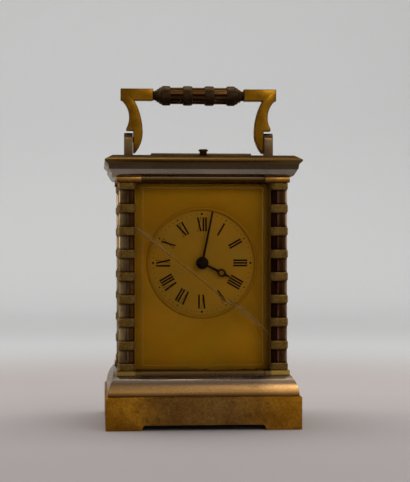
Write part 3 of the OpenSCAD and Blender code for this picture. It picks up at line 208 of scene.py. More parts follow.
# %% Patterns
def new_material(name):
    """A material, its Principled node, and a Shade to build on."""
    material = bpy.data.materials.new(name)
    material.use_nodes = True
    tree = material.node_tree
    return material, tree.nodes["Principled BSDF"], Shade(tree)


def set_surface(surface, **values):
    for key, value in values.items():
        plug(surface.id_data, surface.inputs[key.replace("_", " ")], value)


def place(s, scale=(1, 1, 1)):
    """The point on the piece, in metres, stretched by scale."""
    return s.make("Mapping", Vector=s.make("TexCoord", out=3), Scale=scale)


def axes(s):
    """The X, Y and Z of the point on the piece."""
    return s.make("TexCoord", out=3).parts()


def grain(s, size, stretch=(1, 1, 1), detail=4.0, roughness=0.6):
    """Noise from 0 to 1 whose patches are about size across."""
    where = place(s, stretch)
    return s.make("TexNoise", Vector=where, Scale=1 / size, Detail=detail, Roughness=roughness)


def painted(s, name):
    """A number that the mesh itself carries, such as 1 on every face of a softened edge."""
    return s.make("Attribute", {"attribute_name": name}, out=2)


print("patterns ready")

# %% [markdown]
# Old gilt metal is never one colour: the gilding thins to brown, dirt darkens it in soft
# patches, and fine scratches make some places duller. One function mixes these for every
# metal. Softened edges carry a number called edge, and so do rods where a band grips them.
# There the tone turns to edge_tone. On most of the case that is dirt with a painted dark
# reflection. On the rods it is painted shade along the bands, and on some pieces it is bare
# metal that shines.

# %% Aged metal
def aged_metal(
    name, tone, thin=(0.52, 0.46, 0.38), grime=(0.02, 0.012, 0.005), grime_share=0.5,
    edge_tone=(0.03, 0.018, 0.008), edge_share=0.75, rough=0.3, metallic=1.0, shine=0.5,
    glancing=(0.62, 0.54, 0.44), patch=12, stretch=(1, 1, 1), speck=0.35, grit=0.14, relief=0.03,
):
    """tone is a colour or makes one from the place on the piece, and thin is how it changes
    where the gilding is worn. glancing tints what is mirrored at a low angle, which dirt
    keeps from being white. grit is the strength of the fine speckle. patch, speck and relief
    are in millimetres."""
    material, surface, s = new_material(name)
    patches = grain(s, patch * mm, stretch, detail=6.0).step(0.36, 0.64)
    specks_of_dirt = grain(s, patch * mm / 3, stretch, detail=9.0, roughness=0.7)
    dirt = specks_of_dirt.step(0.5, 0.76) * grime_share
    fine = grain(s, speck * mm, detail=3.0)
    scratches = grain(s, 0.5 * mm, (1, 1, 14), detail=2.0).step(0.58, 0.75)
    clean = patches.mix(thin, (1, 1, 1)).tint(tone(s) if callable(tone) else tone)
    speckled = clean.tint(fine.step(0.3, 0.7).mix((1 - grit,) * 3, (1 + grit,) * 3))
    height = fine * 0.5 + scratches * 0.3 + patches
    # Where edge is 1 the colour is: dirt with a painted dark reflection on the case's edges,
    # painted shade where a band grips a rod, and bare metal on light edges.
    set_surface(
        surface,
        Base_Color=(painted(s, "edge") * edge_share).mix(dirt.mix(speckled, grime), edge_tone),
        Metallic=metallic,
        Roughness=(patches * -0.06 + dirt * 0.3 + scratches * 0.08 + rough).at_most(0.9),
        Specular_IOR_Level=shine,
        Specular_Tint=glancing,
        Normal=s.make("Bump", Height=height, Strength=0.25, Distance=relief * mm),
    )
    return material


print("aged metal ready")

# %% [markdown]
# Light, shade, wear and dirt lie at one height along a moulding, so a ramp over the height
# paints them and the moulding stays one piece, as it is cast. These ramps hold painted
# reflections, highlights and shade. The side towards the room's window is painted brighter, a
# painted highlight, and so are faces that point sideways, a painted sheen.

# %% Tones that follow the piece
def by_height(node, *stops):
    """A tone that changes with height, from the node's foot at 0 to its top at 1."""
    low, high = (corner.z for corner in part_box(node))
    return lambda s: ((axes(s)[2] - low) / (high - low)).ramp(*stops)


def across(*stops):
    """A tone that changes from left to right. Each stop's place is an X in millimetres."""
    width = 2 * half_w
    placed_stops = [(x * mm / width + 0.5, *colour) for x, *colour in stops]
    return lambda s: (axes(s)[0] / width + 0.5).ramp(*placed_stops)


def brighter_right(tone, share):
    """The tone, painted brighter by a share from the right-hand column outwards: a painted
    highlight.
    """
    def lit(s):
        plain = tone(s)
        return axes(s)[0].step(26 * mm, 40 * mm).mix(plain, plain.tint((share,) * 3))
    return lit


def gold_corners(tone):
    """The tone, with the blocks under the columns in a brighter gold."""
    def lit(s):
        x, _, z = axes(s)
        on_block = z.step(mould_high.z - 2.3 * mm, mould_high.z - 2.0 * mm)
        return (abs(x).step(36 * mm, 36.8 * mm) * on_block).mix(tone(s), (0.3, 0.185, 0.04))
    return lit


def sideways_sheen(plain, bright, share):
    """A tone that turns bright by a share where the surface faces sideways: a painted sheen."""
    def lit(s):
        sideways = abs(s.make("TexCoord", out=1).parts()[0])
        return (sideways.step(0.5, 0.95) * share).mix(plain, bright)
    return lit


def browned_middle(s):
    """Gold at both ends of the plinth's long sides, and a brown stain between them."""
    ragged = abs(axes(s)[0]) + grain(s, 12 * mm, detail=5.0) * 30 * mm - 15 * mm
    stain = 1 - ragged.step(16 * mm, 44 * mm)
    return stain.mix((0.4, 0.18, 0.014), (0.22, 0.11, 0.026))


print("tones ready")

# %% [markdown]
# The case is gilt brass. The plinth has kept its gold under a brown patina. The base
# moulding has a painted grey reflection on its top, a painted bright highlight on its lower
# part, and painted shade at its foot and along the sill. The cornice has a brown lip, a fascia
# painted nearly black as a dark reflection, a lower moulding painted silvery grey as a pale
# reflection, and painted shade at its foot.

# %% Finishes of the case
moulding = dict(patch=14, stretch=(0.3, 0.3, 1), grime_share=0.3)
case_looks = {
    "plinth_gilt": dict(
        tone=browned_middle, thin=(0.72, 0.66, 0.6), rough=0.36, relief=0.05,
        edge_tone=(0.055, 0.028, 0.008), grime_share=0.6, speck=1.4, grit=0.2,
    ),
    "moulding_silvered": dict(
        # Painted light and shade: dark at the foot, a bright highlight low down, a grey reflection
        # on top, dark lines of shade at the sill, and a brighter right end.
        tone=brighter_right(gold_corners(by_height(
            "base_casting", (0.0, 0.13, 0.065, 0.018), (0.06, 0.15, 0.08, 0.022),
            (0.13, 0.34, 0.18, 0.062), (0.2, 0.6, 0.32, 0.1), (0.34, 0.36, 0.2, 0.072),
            (0.52, 0.195, 0.125, 0.07), (0.68, 0.29, 0.225, 0.17), (0.807, 0.255, 0.2, 0.165),
            (0.815, 0.02, 0.01, 0.003), (0.85, 0.1, 0.06, 0.022), (0.93, 0.19, 0.115, 0.035),
            (0.99, 0.07, 0.03, 0.006),
        )), 1.7),
        thin=(0.8, 0.77, 0.75), rough=0.27, edge_tone=(0.08, 0.04, 0.012), edge_share=0.6,
        **moulding,
    ),
    "cornice_silvered": dict(
        # Painted: shade at the foot, a silvery grey reflection of the pale floor on the lower
        # moulding, a nearly black reflection of the dim room on the fascia, and a brown lip.
        tone=by_height(
            "cornice", (0.0, 0.025, 0.01, 0.001), (0.08, 0.035, 0.015, 0.003),
            (0.12, 0.12, 0.065, 0.016), (0.165, 0.26, 0.145, 0.03), (0.185, 0.32, 0.26, 0.19),
            (0.25, 0.36, 0.31, 0.25), (0.32, 0.36, 0.32, 0.265), (0.46, 0.33, 0.29, 0.245),
            (0.485, 0.1, 0.07, 0.036), (0.66, 0.08, 0.055, 0.03), (0.7, 0.16, 0.1, 0.04),
            (0.8, 0.12, 0.068, 0.017), (0.9, 0.112, 0.063, 0.022), (0.94, 0.1, 0.057, 0.036),
            (1.0, 0.1, 0.058, 0.042),
        ),
        thin=(0.8, 0.77, 0.74), rough=0.28, edge_tone=(0.12, 0.075, 0.035), edge_share=0.5,
        **moulding,
    ),
    "capital_gilt": dict(
        tone=(0.36, 0.18, 0.045), thin=(0.68, 0.62, 0.55), patch=6, edge_tone=(0.14, 0.07, 0.02),
    ),
    "screw_brass": dict(tone=(0.36, 0.23, 0.08), patch=3),
    "rim_gilt": dict(
        tone=(0.12, 0.068, 0.025), thin=(0.74, 0.7, 0.66), patch=8,
        edge_tone=(0.18, 0.11, 0.05), edge_share=0.5,
    ),
    "door_gilt": dict(tone=(0.3, 0.16, 0.035), rough=0.34, patch=10),
    "post_silvered": dict(
        # The top of each post is painted dark: painted shade.
        tone=by_height(
            "handle_posts", (0.0, 0.185, 0.115, 0.055), (0.8, 0.205, 0.13, 0.06),
            (0.86, 0.05, 0.026, 0.01),
        ),
        thin=(0.74, 0.7, 0.66), patch=5, rough=0.4, edge_tone=(0.06, 0.036, 0.018),
    ),
    "handle_gilt": dict(
        tone=(0.245, 0.108, 0.006), thin=(0.66, 0.62, 0.6), rough=0.34, patch=9,
        edge_tone=(0.05, 0.024, 0.006), edge_share=0.9,
    ),
    "block_gilt": dict(
        # Painted shade at the foot rising to a painted highlight at the top, and a brighter right
        # side.
        tone=brighter_right(by_height(
            "column_capitals", (0.0, 0.07, 0.028, 0.002), (0.3, 0.15, 0.066, 0.006),
            (0.6, 0.36, 0.18, 0.035), (0.9, 0.6, 0.32, 0.085),
        ), 1.05),
        thin=(0.74, 0.7, 0.66), patch=6, edge_tone=(0.16, 0.08, 0.02), edge_share=0.5,
    ),
    "button_bronze": dict(
        tone=(0.022, 0.0105, 0.003), patch=3, rough=0.36, edge_tone=(0.06, 0.036, 0.018),
        edge_share=0.5,
    ),
}
finishes = {name: aged_metal(name, **look) for name, look in case_looks.items()}
print("case finishes:", sorted(finishes))

# %% [markdown]
# Inside, the wheels and plates are plain brass, the arbors and clicks bright steel, the
# hands blued nearly to black, and the gong is hardened steel that has kept some blue.

# %% Finishes of the movement
works_looks = {
    "wheel_brass": dict(
        tone=(0.52, 0.36, 0.12), thin=(0.78, 0.7, 0.6), grime=(0.12, 0.07, 0.025), rough=0.25,
        patch=6, grime_share=0.3,
    ),
    "plate_brass": dict(
        tone=(0.46, 0.31, 0.1), thin=(0.76, 0.7, 0.62), grime=(0.12, 0.07, 0.025), rough=0.32,
        patch=14, stretch=(1, 1, 0.2), grime_share=0.3, edge_tone=(0.62, 0.46, 0.2), edge_share=0.5,
    ),
    "bright_steel": dict(
        tone=(0.5, 0.5, 0.51), thin=(0.7, 0.7, 0.7), grime=(0.12, 0.1, 0.09), rough=0.22,
        patch=5, grime_share=0.3, edge_tone=(0.65, 0.65, 0.66), edge_share=0.5,
        glancing=(0.8, 0.8, 0.8),
    ),
    "blued_steel": dict(
        tone=(0.014, 0.006, 0.002), thin=(0.6, 0.55, 0.5), grime=(0.016, 0.007, 0.003), rough=0.5,
        metallic=0.3, patch=4, grime_share=0.4, edge_tone=(0.04, 0.02, 0.008), edge_share=0.4,
        shine=0.08,
    ),
    "gong_steel": dict(
        tone=(0.07, 0.075, 0.14), thin=(0.6, 0.5, 0.45), grime=(0.07, 0.04, 0.025), rough=0.25,
        patch=8,
    ),
}
finishes.update({name: aged_metal(name, **look) for name, look in works_looks.items()})
print("movement finishes:", sorted(works_looks))

# %% [markdown]
# The mask and the dial have a fine matt grain that scatters light instead of mirroring it:
# they are metallic only in part, rough and mottled. Their tone is painted darker towards the
# lower left and lighter towards the top and bottom: a painted fall of light.

# %% Matt gilt of the dial and its mask
def matt_gilt(name, light, dark, rough, fall):
    """fall is how much the tone turns from dark to light across the plate: a painted fall of light.
    """
    material, surface, s = new_material(name)
    x, _, z = axes(s)
    patches = grain(s, 22 * mm, detail=5.0).step(0.3, 0.7)
    speckle = grain(s, 0.8 * mm, detail=3.0)
    # Painted light: darker towards the lower left, and lighter towards the top and bottom.
    slope = ((x * 0.6 + (z - dial_centre.z) * 0.4) / half_w).step(-1.0, 1.0)
    ends = (abs(z - dial_centre.z) / (50 * mm)).step(0.3, 1.0)
    share = (patches * 0.35 + slope * fall + speckle * 0.2 + ends * 0.5).at_most(1.0)
    stain = grain(s, 16 * mm, detail=3.0).step(0.4, 0.6).mix((0.96, 1.0, 1.3), (1.04, 0.985, 0.8))
    set_surface(
        surface,
        Base_Color=share.mix(dark, light).tint(stain),
        Metallic=0.35,
        Roughness=rough,
        Specular_IOR_Level=0.08,
        Normal=s.make("Bump", Height=speckle, Strength=0.3, Distance=0.02 * mm),
    )
    return material


for name, look in {
    "mask_gilt": ((0.36, 0.16, 0.0015), (0.225, 0.095, 0.001), 0.55, 0.3),
    "dial_gilt": ((0.33, 0.163, 0.009), (0.245, 0.113, 0.004), 0.48, 0.4),
    # The ring is darker than the mask: painted shade round the dial.
    "ring_gilt": ((0.3, 0.13, 0.002), (0.2, 0.082, 0.001), 0.5, 0.3),
}.items():
    finishes[name] = matt_gilt(name, *look)
print("matt gilt ready")

# %% [markdown]
# Each corner column is a bundle of dark, polished rods that nine grained bands hold
# together, and the handle's grip is made in the same way. The rods are nearly black, with
# painted reflections: light where they face outwards and along the groove between them, and
# on the grip a painted highlight along its middle. The bands are an olive brown with a
# painted sheen where they face sideways.

# %% Rods and bands
def dark_rods(name, tone, stretch):
    # On the columns, the near-black edge_tone is painted shade where a band grips a rod.
    return aged_metal(
        name, tone, thin=(0.45, 0.36, 0.32), grime=(0.006, 0.003, 0.001), rough=0.2, patch=6,
        stretch=stretch, grime_share=0.45, relief=0.02, edge_tone=(0.006, 0.002, 0.001),
        edge_share=0.9,
    )


# Painted reflections across the rods: light on the outer flanks and along the groove between rods,
# near black between.
rod_tone = across(
    (-46, 0.31, 0.235, 0.165), (-44.6, 0.28, 0.195, 0.1), (-43.4, 0.18, 0.125, 0.055),
    (-41.6, 0.1, 0.055, 0.022), (-40.4, 0.2, 0.14, 0.08), (-39.4, 0.075, 0.03, 0.004),
    (-37.8, 0.12, 0.058, 0.02), (-37.0, 0.02, 0.005, 0.001), (37.0, 0.014, 0.004, 0.002),
    (39.6, 0.022, 0.007, 0.004), (40.4, 0.19, 0.1, 0.06), (41.4, 0.045, 0.012, 0.002),
    (43.6, 0.09, 0.045, 0.015), (44.6, 0.26, 0.18, 0.12), (46, 0.36, 0.27, 0.18),
)
# A painted highlight: a bright band along the grip's middle height, dark above and below.
grip_tone = by_height(
    "handle_grip", (0.3, 0.06, 0.034, 0.016), (0.46, 0.055, 0.03, 0.012),
    (0.53, 0.34, 0.18, 0.05), (0.65, 0.34, 0.18, 0.05), (0.73, 0.05, 0.025, 0.01),
)
finishes["column_brass"] = dark_rods("column_brass", rod_tone, (1, 1, 0.35))
finishes["grip_brass"] = dark_rods("grip_brass", grip_tone, (0.35, 1, 1))
band_look = dict(metallic=0.75, grime_share=0.4, relief=0.04, speck=0.6, shine=0.2)
# The bands turn lighter where they face sideways, a painted sheen.
grained_band = aged_metal(
    "grained_band", sideways_sheen((0.15, 0.082, 0.017), (0.24, 0.165, 0.09), 0.7), grit=0.55,
    thin=(0.74, 0.72, 0.7), grime=(0.02, 0.01, 0.003), rough=0.45, patch=3.5, **band_look,
)
grip_band_finish = aged_metal(
    "grip_band_finish", (0.038, 0.021, 0.0085), thin=(0.7, 0.66, 0.62),
    grime=(0.009, 0.005, 0.003), rough=0.42, patch=3, grit=0.5, **band_look,
)
print("rods and bands ready")

# %% [markdown]
# The panels are bevelled plate glass. A refracting glass would hold back the light that
# reaches the dial, so this one is mostly clear and shows itself by its reflections and a
# faint haze. Each panel's mesh carries a number called bevel, 0 at the bevel's inner edge and
# 1 at the rim. A painted light line shows where the bevel starts, and the rest is painted
# darker, most of all at the right edge, because a real bevel bends the view.

# %% Glass
material, surface, s = new_material("glass")
facing = s.make("LayerWeight", Blend=0.3)
haze = grain(s, 30 * mm, detail=4.0).step(0.4, 0.7)
bevel = painted(s, "bevel")
line = bevel.step(0.0, 0.05) * (1 - bevel.step(0.1, 0.17))
# Painted shade: the bevel at the right edge is darker.
darker_right_bevel = axes(s)[0].step(33.5 * mm, 34.8 * mm)
shadow = bevel.step(0.14, 0.3) * (darker_right_bevel * 0.33 + 0.12)
set_surface(
    surface,
    Base_Color=(line * 0.9).mix((0.012, 0.009, 0.005), (0.34, 0.2, 0.03)),
    Roughness=haze * 0.06 + 0.03,
    IOR=1.5,
    Specular_IOR_Level=0.12,
    Alpha=(facing * 0.3 + haze * 0.02 + line * 0.36 + shadow + 0.01).at_most(0.9),
)
finishes["glass"] = material
print("glass ready")

# %% [markdown]
# The record names a slot for each node, and the finish of that slot goes on it.

# %% Finishes on the nodes
slot_of = {row["node"]: row["material_slot"] for row in frame["record"]["subparts"]}
for node, slot in slot_of.items():
    nodes[node].data.materials.clear()
    nodes[node].data.materials.append(finishes[slot])
print("nodes finished:", len(slot_of))

# %% [markdown]
# A maker breaks every edge, and that narrow slope is what catches the light. `soften` copies
# a node's mesh, merges its loose triangles, joins the flat ones, drops faces that lie inside
# the metal, slopes the longer sharp edges and marks the new faces with the number edge. The
# copy then stands for the node, in the same place.

# %% Pieces from meshes
def add_piece(name, mesh, node=None, slot=None, finish=None, smooth=40):
    """A bmesh becomes a piece. It stands for a node, on that node's body and in its slot, or
    else rides on the case."""
    slot = slot or slot_of[node]
    bmesh.ops.recalc_face_normals(mesh, faces=mesh.faces)
    data = bpy.data.meshes.new(name)
    mesh.to_mesh(data)
    mesh.free()
    data.materials.append(finish or finishes[slot])
    data.shade_smooth()
    data.set_sharp_from_angle(angle=math.radians(smooth))
    piece = new_object(data)
    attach(piece, body_of(nodes[node])[0] if node else "case")
    if node:
        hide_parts(node)
    print(name, "faces:", len(data.polygons))


def merged_copy(node):
    """A node's mesh as closed bodies with whole faces. Faces inside the metal have more than
    two faces on each edge, and joining flat faces can bring out another."""
    mesh = bmesh.new()
    mesh.from_mesh(nodes[node].data)
    bmesh.ops.remove_doubles(mesh, verts=mesh.verts, dist=0.001 * mm)
    for _ in range(2):
        bmesh.ops.dissolve_limit(
            mesh, angle_limit=math.radians(1), verts=mesh.verts, edges=mesh.edges
        )
        inner = [f for f in mesh.faces if all(len(edge.link_faces) > 2 for edge in f.edges)]
        bmesh.ops.delete(mesh, geom=inner, context="FACES_ONLY")
    return mesh


def is_sharp(edge, shortest):
    sharp = len(edge.link_faces) == 2 and edge.calc_face_angle(0) > math.radians(35)
    return sharp and edge.calc_length() > shortest


def soften(node, width, shortest, finish):
    mesh = merged_copy(node)
    edge_mark = mesh.faces.layers.float.new("edge")
    made = bmesh.ops.bevel(
        mesh, geom=[edge for edge in mesh.edges if is_sharp(edge, shortest)], offset=width,
        offset_type="OFFSET", segments=2, profile=0.6, affect="EDGES", clamp_overlap=True,
    )
    for face in made["faces"]:
        face[edge_mark] = 1.0
    add_piece("soft_" + node, mesh, node, finish=finish)


print("piece helpers ready")

# %% [markdown]
# Each node has the slope's width and the shortest edge that gets one, in millimetres. The
# button is dark bronze and the blocks over the columns have their own gilding.

# %% Softened edges
softened = {
    "plinth": (0.45, 3), "base_casting": (0.3, 3), "cornice": (0.25, 3),
    "column_capitals": (0.25, 2), "top_rim": (0.3, 2), "handle_posts": (0.35, 1),
    "handle_arm_left": (0.4, 0.6), "handle_arm_right": (0.4, 0.6), "repeat_button": (0.12, 0),
    "door_frame": (0.3, 2), "door_knob": (0.12, 0), "dial_mask": (0.12, 2),
    "front_plate": (0.2, 2), "back_plate": (0.2, 2), "platform": (0.15, 1),
    "platform_bridge": (0.12, 0.4), "balance_cock": (0.15, 0.4), "hour_hand": (0.08, 0),
    "minute_hand": (0.08, 0), "hand_boss": (0.12, 0), "hammer": (0.12, 0.3),
}
own_finish = {"repeat_button": "button_bronze", "column_capitals": "block_gilt"}
for node, (width, shortest) in softened.items():
    finish = finishes[own_finish.get(node, slot_of[node])]
    soften(node, width * mm, shortest * mm, finish)

# %% [markdown]
# Between its lower moulding and its lip the cornice leans outwards like a shallow cove, and
# the solid is upright there. The copy's outer corners move out by a little that depends on
# their height, but not beyond the lip.

# %% Cornice
lean_z = np.array([134.6, 136.7, 138.7, 141.4, 143.0, 143.8]) * mm
lean_out = np.array([0.35, 0.0, 0.45, 0.95, 0.3, 0.0]) * mm
outer_x, outer_y = 44 * mm, 37 * mm
spare = 0.2 * mm


def lean(at, out, outer, limit):
    """A coordinate beyond outer moves outwards, and stops at the limit."""
    if abs(at) <= outer:
        return at
    return math.copysign(max(abs(at), min(abs(at) + out, limit)), at)


for v in bpy.data.objects["soft_cornice"].data.vertices:
    if lean_z[0] <= v.co.z <= lean_z[-1]:
        out = float(np.interp(v.co.z, lean_z, lean_out))
        v.co.x = lean(v.co.x, out, outer_x, cornice_high.x - spare)
        v.co.y = lean(v.co.y, out, outer_y, cornice_high.y - spare)
print("cornice leans out by", max(lean_out) / mm, "mm")

# %% [markdown]
# The hour hand has a small oval eye, and the minute hand is a slim blade that keeps most of
# its breadth to the tip. The solids are plainer there, so the copies are drawn out.

# %% Hands
eye_at, eye_r, boss_r = 11.9, 1.85, 4


def oval_eye(u, w):
    if math.hypot(u, w - eye_at) < eye_r:
        return u * 1.25, eye_at + (w - eye_at) * 1.5
    return u, w


def broad_blade(u, w):
    return (u * (1.1 + w * 0.03), w * 1.025) if w > boss_r else (u, w)


def reshape_hand(node, change):
    """change takes a corner's places across and along the hand, in millimetres."""
    mesh = bpy.data.objects["soft_" + node].data
    arms = [v.co - dial_centre for v in mesh.vertices]
    tip = max(arms, key=lambda arm: math.hypot(arm.x, arm.z))
    along = Vector((tip.x, 0, tip.z)).normalized()
    sideways = Vector((along.z, 0, -along.x))
    for v, arm in zip(mesh.vertices, arms):
        u, w = change(arm.dot(sideways) / mm, arm.dot(along) / mm)
        middle = Vector((dial_centre.x, v.co.y, dial_centre.z))
        v.co = middle + (sideways * u + along * w) * mm
    print(node, "reaches", round(math.hypot(tip.x, tip.z) / mm, 1))


reshape_hand("hour_hand", oval_eye)
reshape_hand("minute_hand", broad_blade)

# %% [markdown]
# The panels keep their shape. Their copies only carry the bevel's number: a corner of the
# bevel at the panel's rim has 1, and every other corner 0.

# %% Glass panels
for node in ("front_glass", "left_glass", "right_glass", "top_glass", "door_glass"):
    mesh = merged_copy(node)
    bevel_mark = mesh.verts.layers.float.new("bevel")
    sloped = [face for face in mesh.faces if max(abs(c) for c in face.normal) < 0.999]
    broad = sorted(mesh.faces, key=lambda face: face.calc_area())[-2:]
    rim = {v for face in sloped for v in face.verts} - {v for face in broad for v in face.verts}
    for v in rim:
        v[bevel_mark] = 1.0
    add_piece("clear_" + node, mesh, node, smooth=3)

# %% [markdown]
# A band's plan is the bundle's own outline a little larger: round corners over the three
# rods and a square heel behind. Seen from a point inside, every ray leaves it once, so the
# outline is a list of distances, one for each direction.

# %% Outline of a band
rod_r, side_r = 2.5 * mm, 1.85 * mm
bundle_half = 4.3 * mm
proud = 0.5 * mm
rod_at, side_at = bundle_half - rod_r, side_r - bundle_half
core_from, core_w = side_at - side_r / 2, 3.8 * mm
heart = Vector((0.3 * mm, 0.3 * mm))


def circle(count):
    """Unit directions, evenly all the way round."""
    turns = [math.tau * i / count for i in range(count)]
    return [Vector((math.cos(a), math.sin(a))) for a in turns]


def leaves_circle(ray, centre, r):
    """How far along the ray from the heart a circle ends, or 0 if the ray misses it."""
    to = Vector(centre) - heart
    along = to.dot(ray)
    short = r * r - to.length_squared + along * along
    return along + math.sqrt(short) if short > 0 else 0.0


def leaves_box(ray, low, high):
    """How far along the ray a box ends that has the heart inside."""
    walls = [(high if c > 0 else low)[i] - heart[i] for i, c in enumerate(ray)]
    return min(wall / c for wall, c in zip(walls, ray) if abs(c) > 1e-9)


def band_outline(shrink, count=96):
    reach, end_r = bundle_half + proud, side_r + proud
    end_at, heel = reach - end_r, core_from + core_w + proud
    points = []
    for ray in circle(count):
        far = max(
            leaves_circle(ray, (rod_at, rod_at), rod_r + proud),
            leaves_circle(ray, (-end_at, end_at), end_r),
            leaves_circle(ray, (end_at, -end_at), end_r),
            leaves_box(ray, (-end_at, reach - 2 * end_r), (rod_at, reach)),
            leaves_box(ray, (reach - 2 * end_r, -end_at), (reach, rod_at)),
            leaves_box(ray, (core_from, core_from), (heel, heel)),
        )
        points.append(heart + ray * (far - shrink))
    return points


print("band outline reaches", round(max(p.length for p in band_outline(0)) / mm, 2), "mm")

# %% [markdown]
# Rings of an outline that are stacked up and joined make one closed body. Rings that are
# drawn in at the top and bottom give a band its barrel form.

# %% Stacked rings
square = ((-1, -1), (1, -1), (1, 1), (-1, 1))
column_in = 11.25 * mm
column_x, column_y = half_w - column_in, half_d - column_in
column_foot, column_top = mould_high.z, mask_high.z + 0.5 * mm
# The bands' highest points. The first and the last band are cut by the blocks.
band_tops = [35.0, 46.9, 59.2, 71.6, 83.7, 95.8, 108.0, 120.2, 131.8]
band_h, last_band_h = 4.7 * mm, 4.0 * mm
band_spans = [(top * mm - band_h, top * mm) for top in band_tops]
band_spans[0] = (column_foot, band_spans[0][1])
band_spans[-1] = (column_top - last_band_h, column_top)


def stack_rings(mesh, rings, round_and_round=False):
    """Rings of points become one body, with two ends or joined round to the first ring."""
    loops = [[mesh.verts.new(point) for point in ring] for ring in rings]
    for low, high in zip(loops, loops[1:] + loops[:round_and_round]):
        for i in range(len(low)):
            mesh.faces.new((low[i - 1], low[i], high[i], high[i - 1]))
    if not round_and_round:
        mesh.faces.new(loops[0][::-1])
        mesh.faces.new(loops[-1])
    return loops


def barrel_steps(height, draw, steps=5):
    """Offsets along a band's height with how far each ring is drawn in."""
    round_h = min(0.9 * mm, height / 3)
    quarter = np.linspace(0, math.pi / 2, steps)
    rows = [(round_h * (1 - math.cos(t)), draw * (1 - math.sin(t))) for t in quarter]
    return rows + [(height - h, d) for h, d in rows[::-1]]


def at_corner(point, height, corner):
    """A point of the plan at one corner of the case. corner is the sign of its X and Y."""
    return Vector(((column_x + point[0]) * corner[0], (column_y + point[1]) * corner[1], height))


print("bands at", [round(low / mm, 1) for low, _ in band_spans])

# %% [markdown]
# The grain of the bands is rows of small punched beads, each row half a step on from the
# one below. A bead is placed by its distance along the outline and faces square to it.

# %% Bands and their beads
bead_gap, bead_r, bead_h = 0.72 * mm, 0.33 * mm, 0.2 * mm
row_gap = bead_gap * 0.87
band_in, band_draw = 0.16 * mm, 0.55 * mm
bead_line = band_outline(band_in, 720)
steps_along = [(b - a).length for a, b in zip(bead_line, bead_line[1:] + bead_line[:1])]
run = np.cumsum([0] + steps_along)


def bead_places(low, high, corner):
    """Each bead's place on one band, the direction that it faces, and its size."""
    per_row = round(run[-1] / bead_gap)
    rows = max(1, round((high - low - 1.4 * mm) / row_gap) + 1)
    for row in range(rows):
        z = (low + high) / 2 + (row - (rows - 1) / 2) * row_gap
        for k in range(per_row):
            at = (k + (row % 2) / 2) / per_row * run[-1]
            i = min(int(np.searchsorted(run, at, side="right")) - 1, len(bead_line) - 1)
            point = bead_line[i]
            edge = bead_line[(i + 1) % len(bead_line)] - bead_line[i - 1]
            out = Vector((edge.y, -edge.x)).normalized()
            facing = Vector((out.x * corner[0], out.y * corner[1], 0))
            yield at_corner(point, z, corner), facing, 1.0


def column_bands(corner):
    mesh, beads = bmesh.new(), []
    for low, high in band_spans:
        stack_rings(mesh, [
            [at_corner(p, low + h, corner) for p in band_outline(band_in + drawn)]
            for h, drawn in barrel_steps(high - low, band_draw)
        ])
        beads += bead_places(low, high, corner)
    return mesh, beads


print("beads on the longest row:", round(run[-1] / bead_gap))

# %% [markdown]
# Under the bands run three round rods, two thin ones that fill the grooves between them, and
# a square core. The number edge is 1 where a band grips a rod and falls to 0 a little way
# off, and there the rods are painted near black: painted shade along the bands.

# %% Rods
fillet_r = 0.5 * mm
fillet_at = (rod_at - rod_r - 0.02 * mm, rod_at + 1.25 * mm)
# How far the painted shade beside each band runs along the rods.
band_shade_reach = 1.3 * mm
rod_plans = [
    ((rod_at, rod_at), rod_r, 40), ((side_at, rod_at), side_r, 40), ((rod_at, side_at), side_r, 40),
    (fillet_at[::-1], fillet_r, 12), (fillet_at, fillet_r, 12),
]
rod_steps = [(column_foot, 1.0)]
for (_, under), (over, _) in zip(band_spans, band_spans[1:]):
    rod_steps += [(under, 1.0), (under + band_shade_reach, 0.0), (over - band_shade_reach, 0.0), (over, 1.0)]
rod_steps.append((column_top, 1.0))


def column_rods(corner):
    mesh = bmesh.new()
    edge_mark = mesh.verts.layers.float.new("edge")

    def raise_rod(plan, steps):
        rings = [[at_corner(p, z, corner) for p in plan] for z, _ in steps]
        for loop, (_, mark) in zip(stack_rings(mesh, rings), steps):
            for v in loop:
                v[edge_mark] = mark

    for centre, r, sides in rod_plans:
        raise_rod([Vector(centre) + ray * r for ray in circle(sides)], rod_steps)
    core = [[core_from + (c + 1) * core_w / 2 for c in corner_of] for corner_of in square]
    raise_rod(core, [(column_foot, 0.0), (column_top, 0.0)])
    return mesh


print("rings on a rod:", len(rod_steps))

# %% [markdown]
# Geometry Nodes set one small solid on every point of a mesh, turned along the direction
# that the point carries and scaled by its size. The tree's named inputs are the solid's
# radius and height. It realizes its copies and gives them a material.

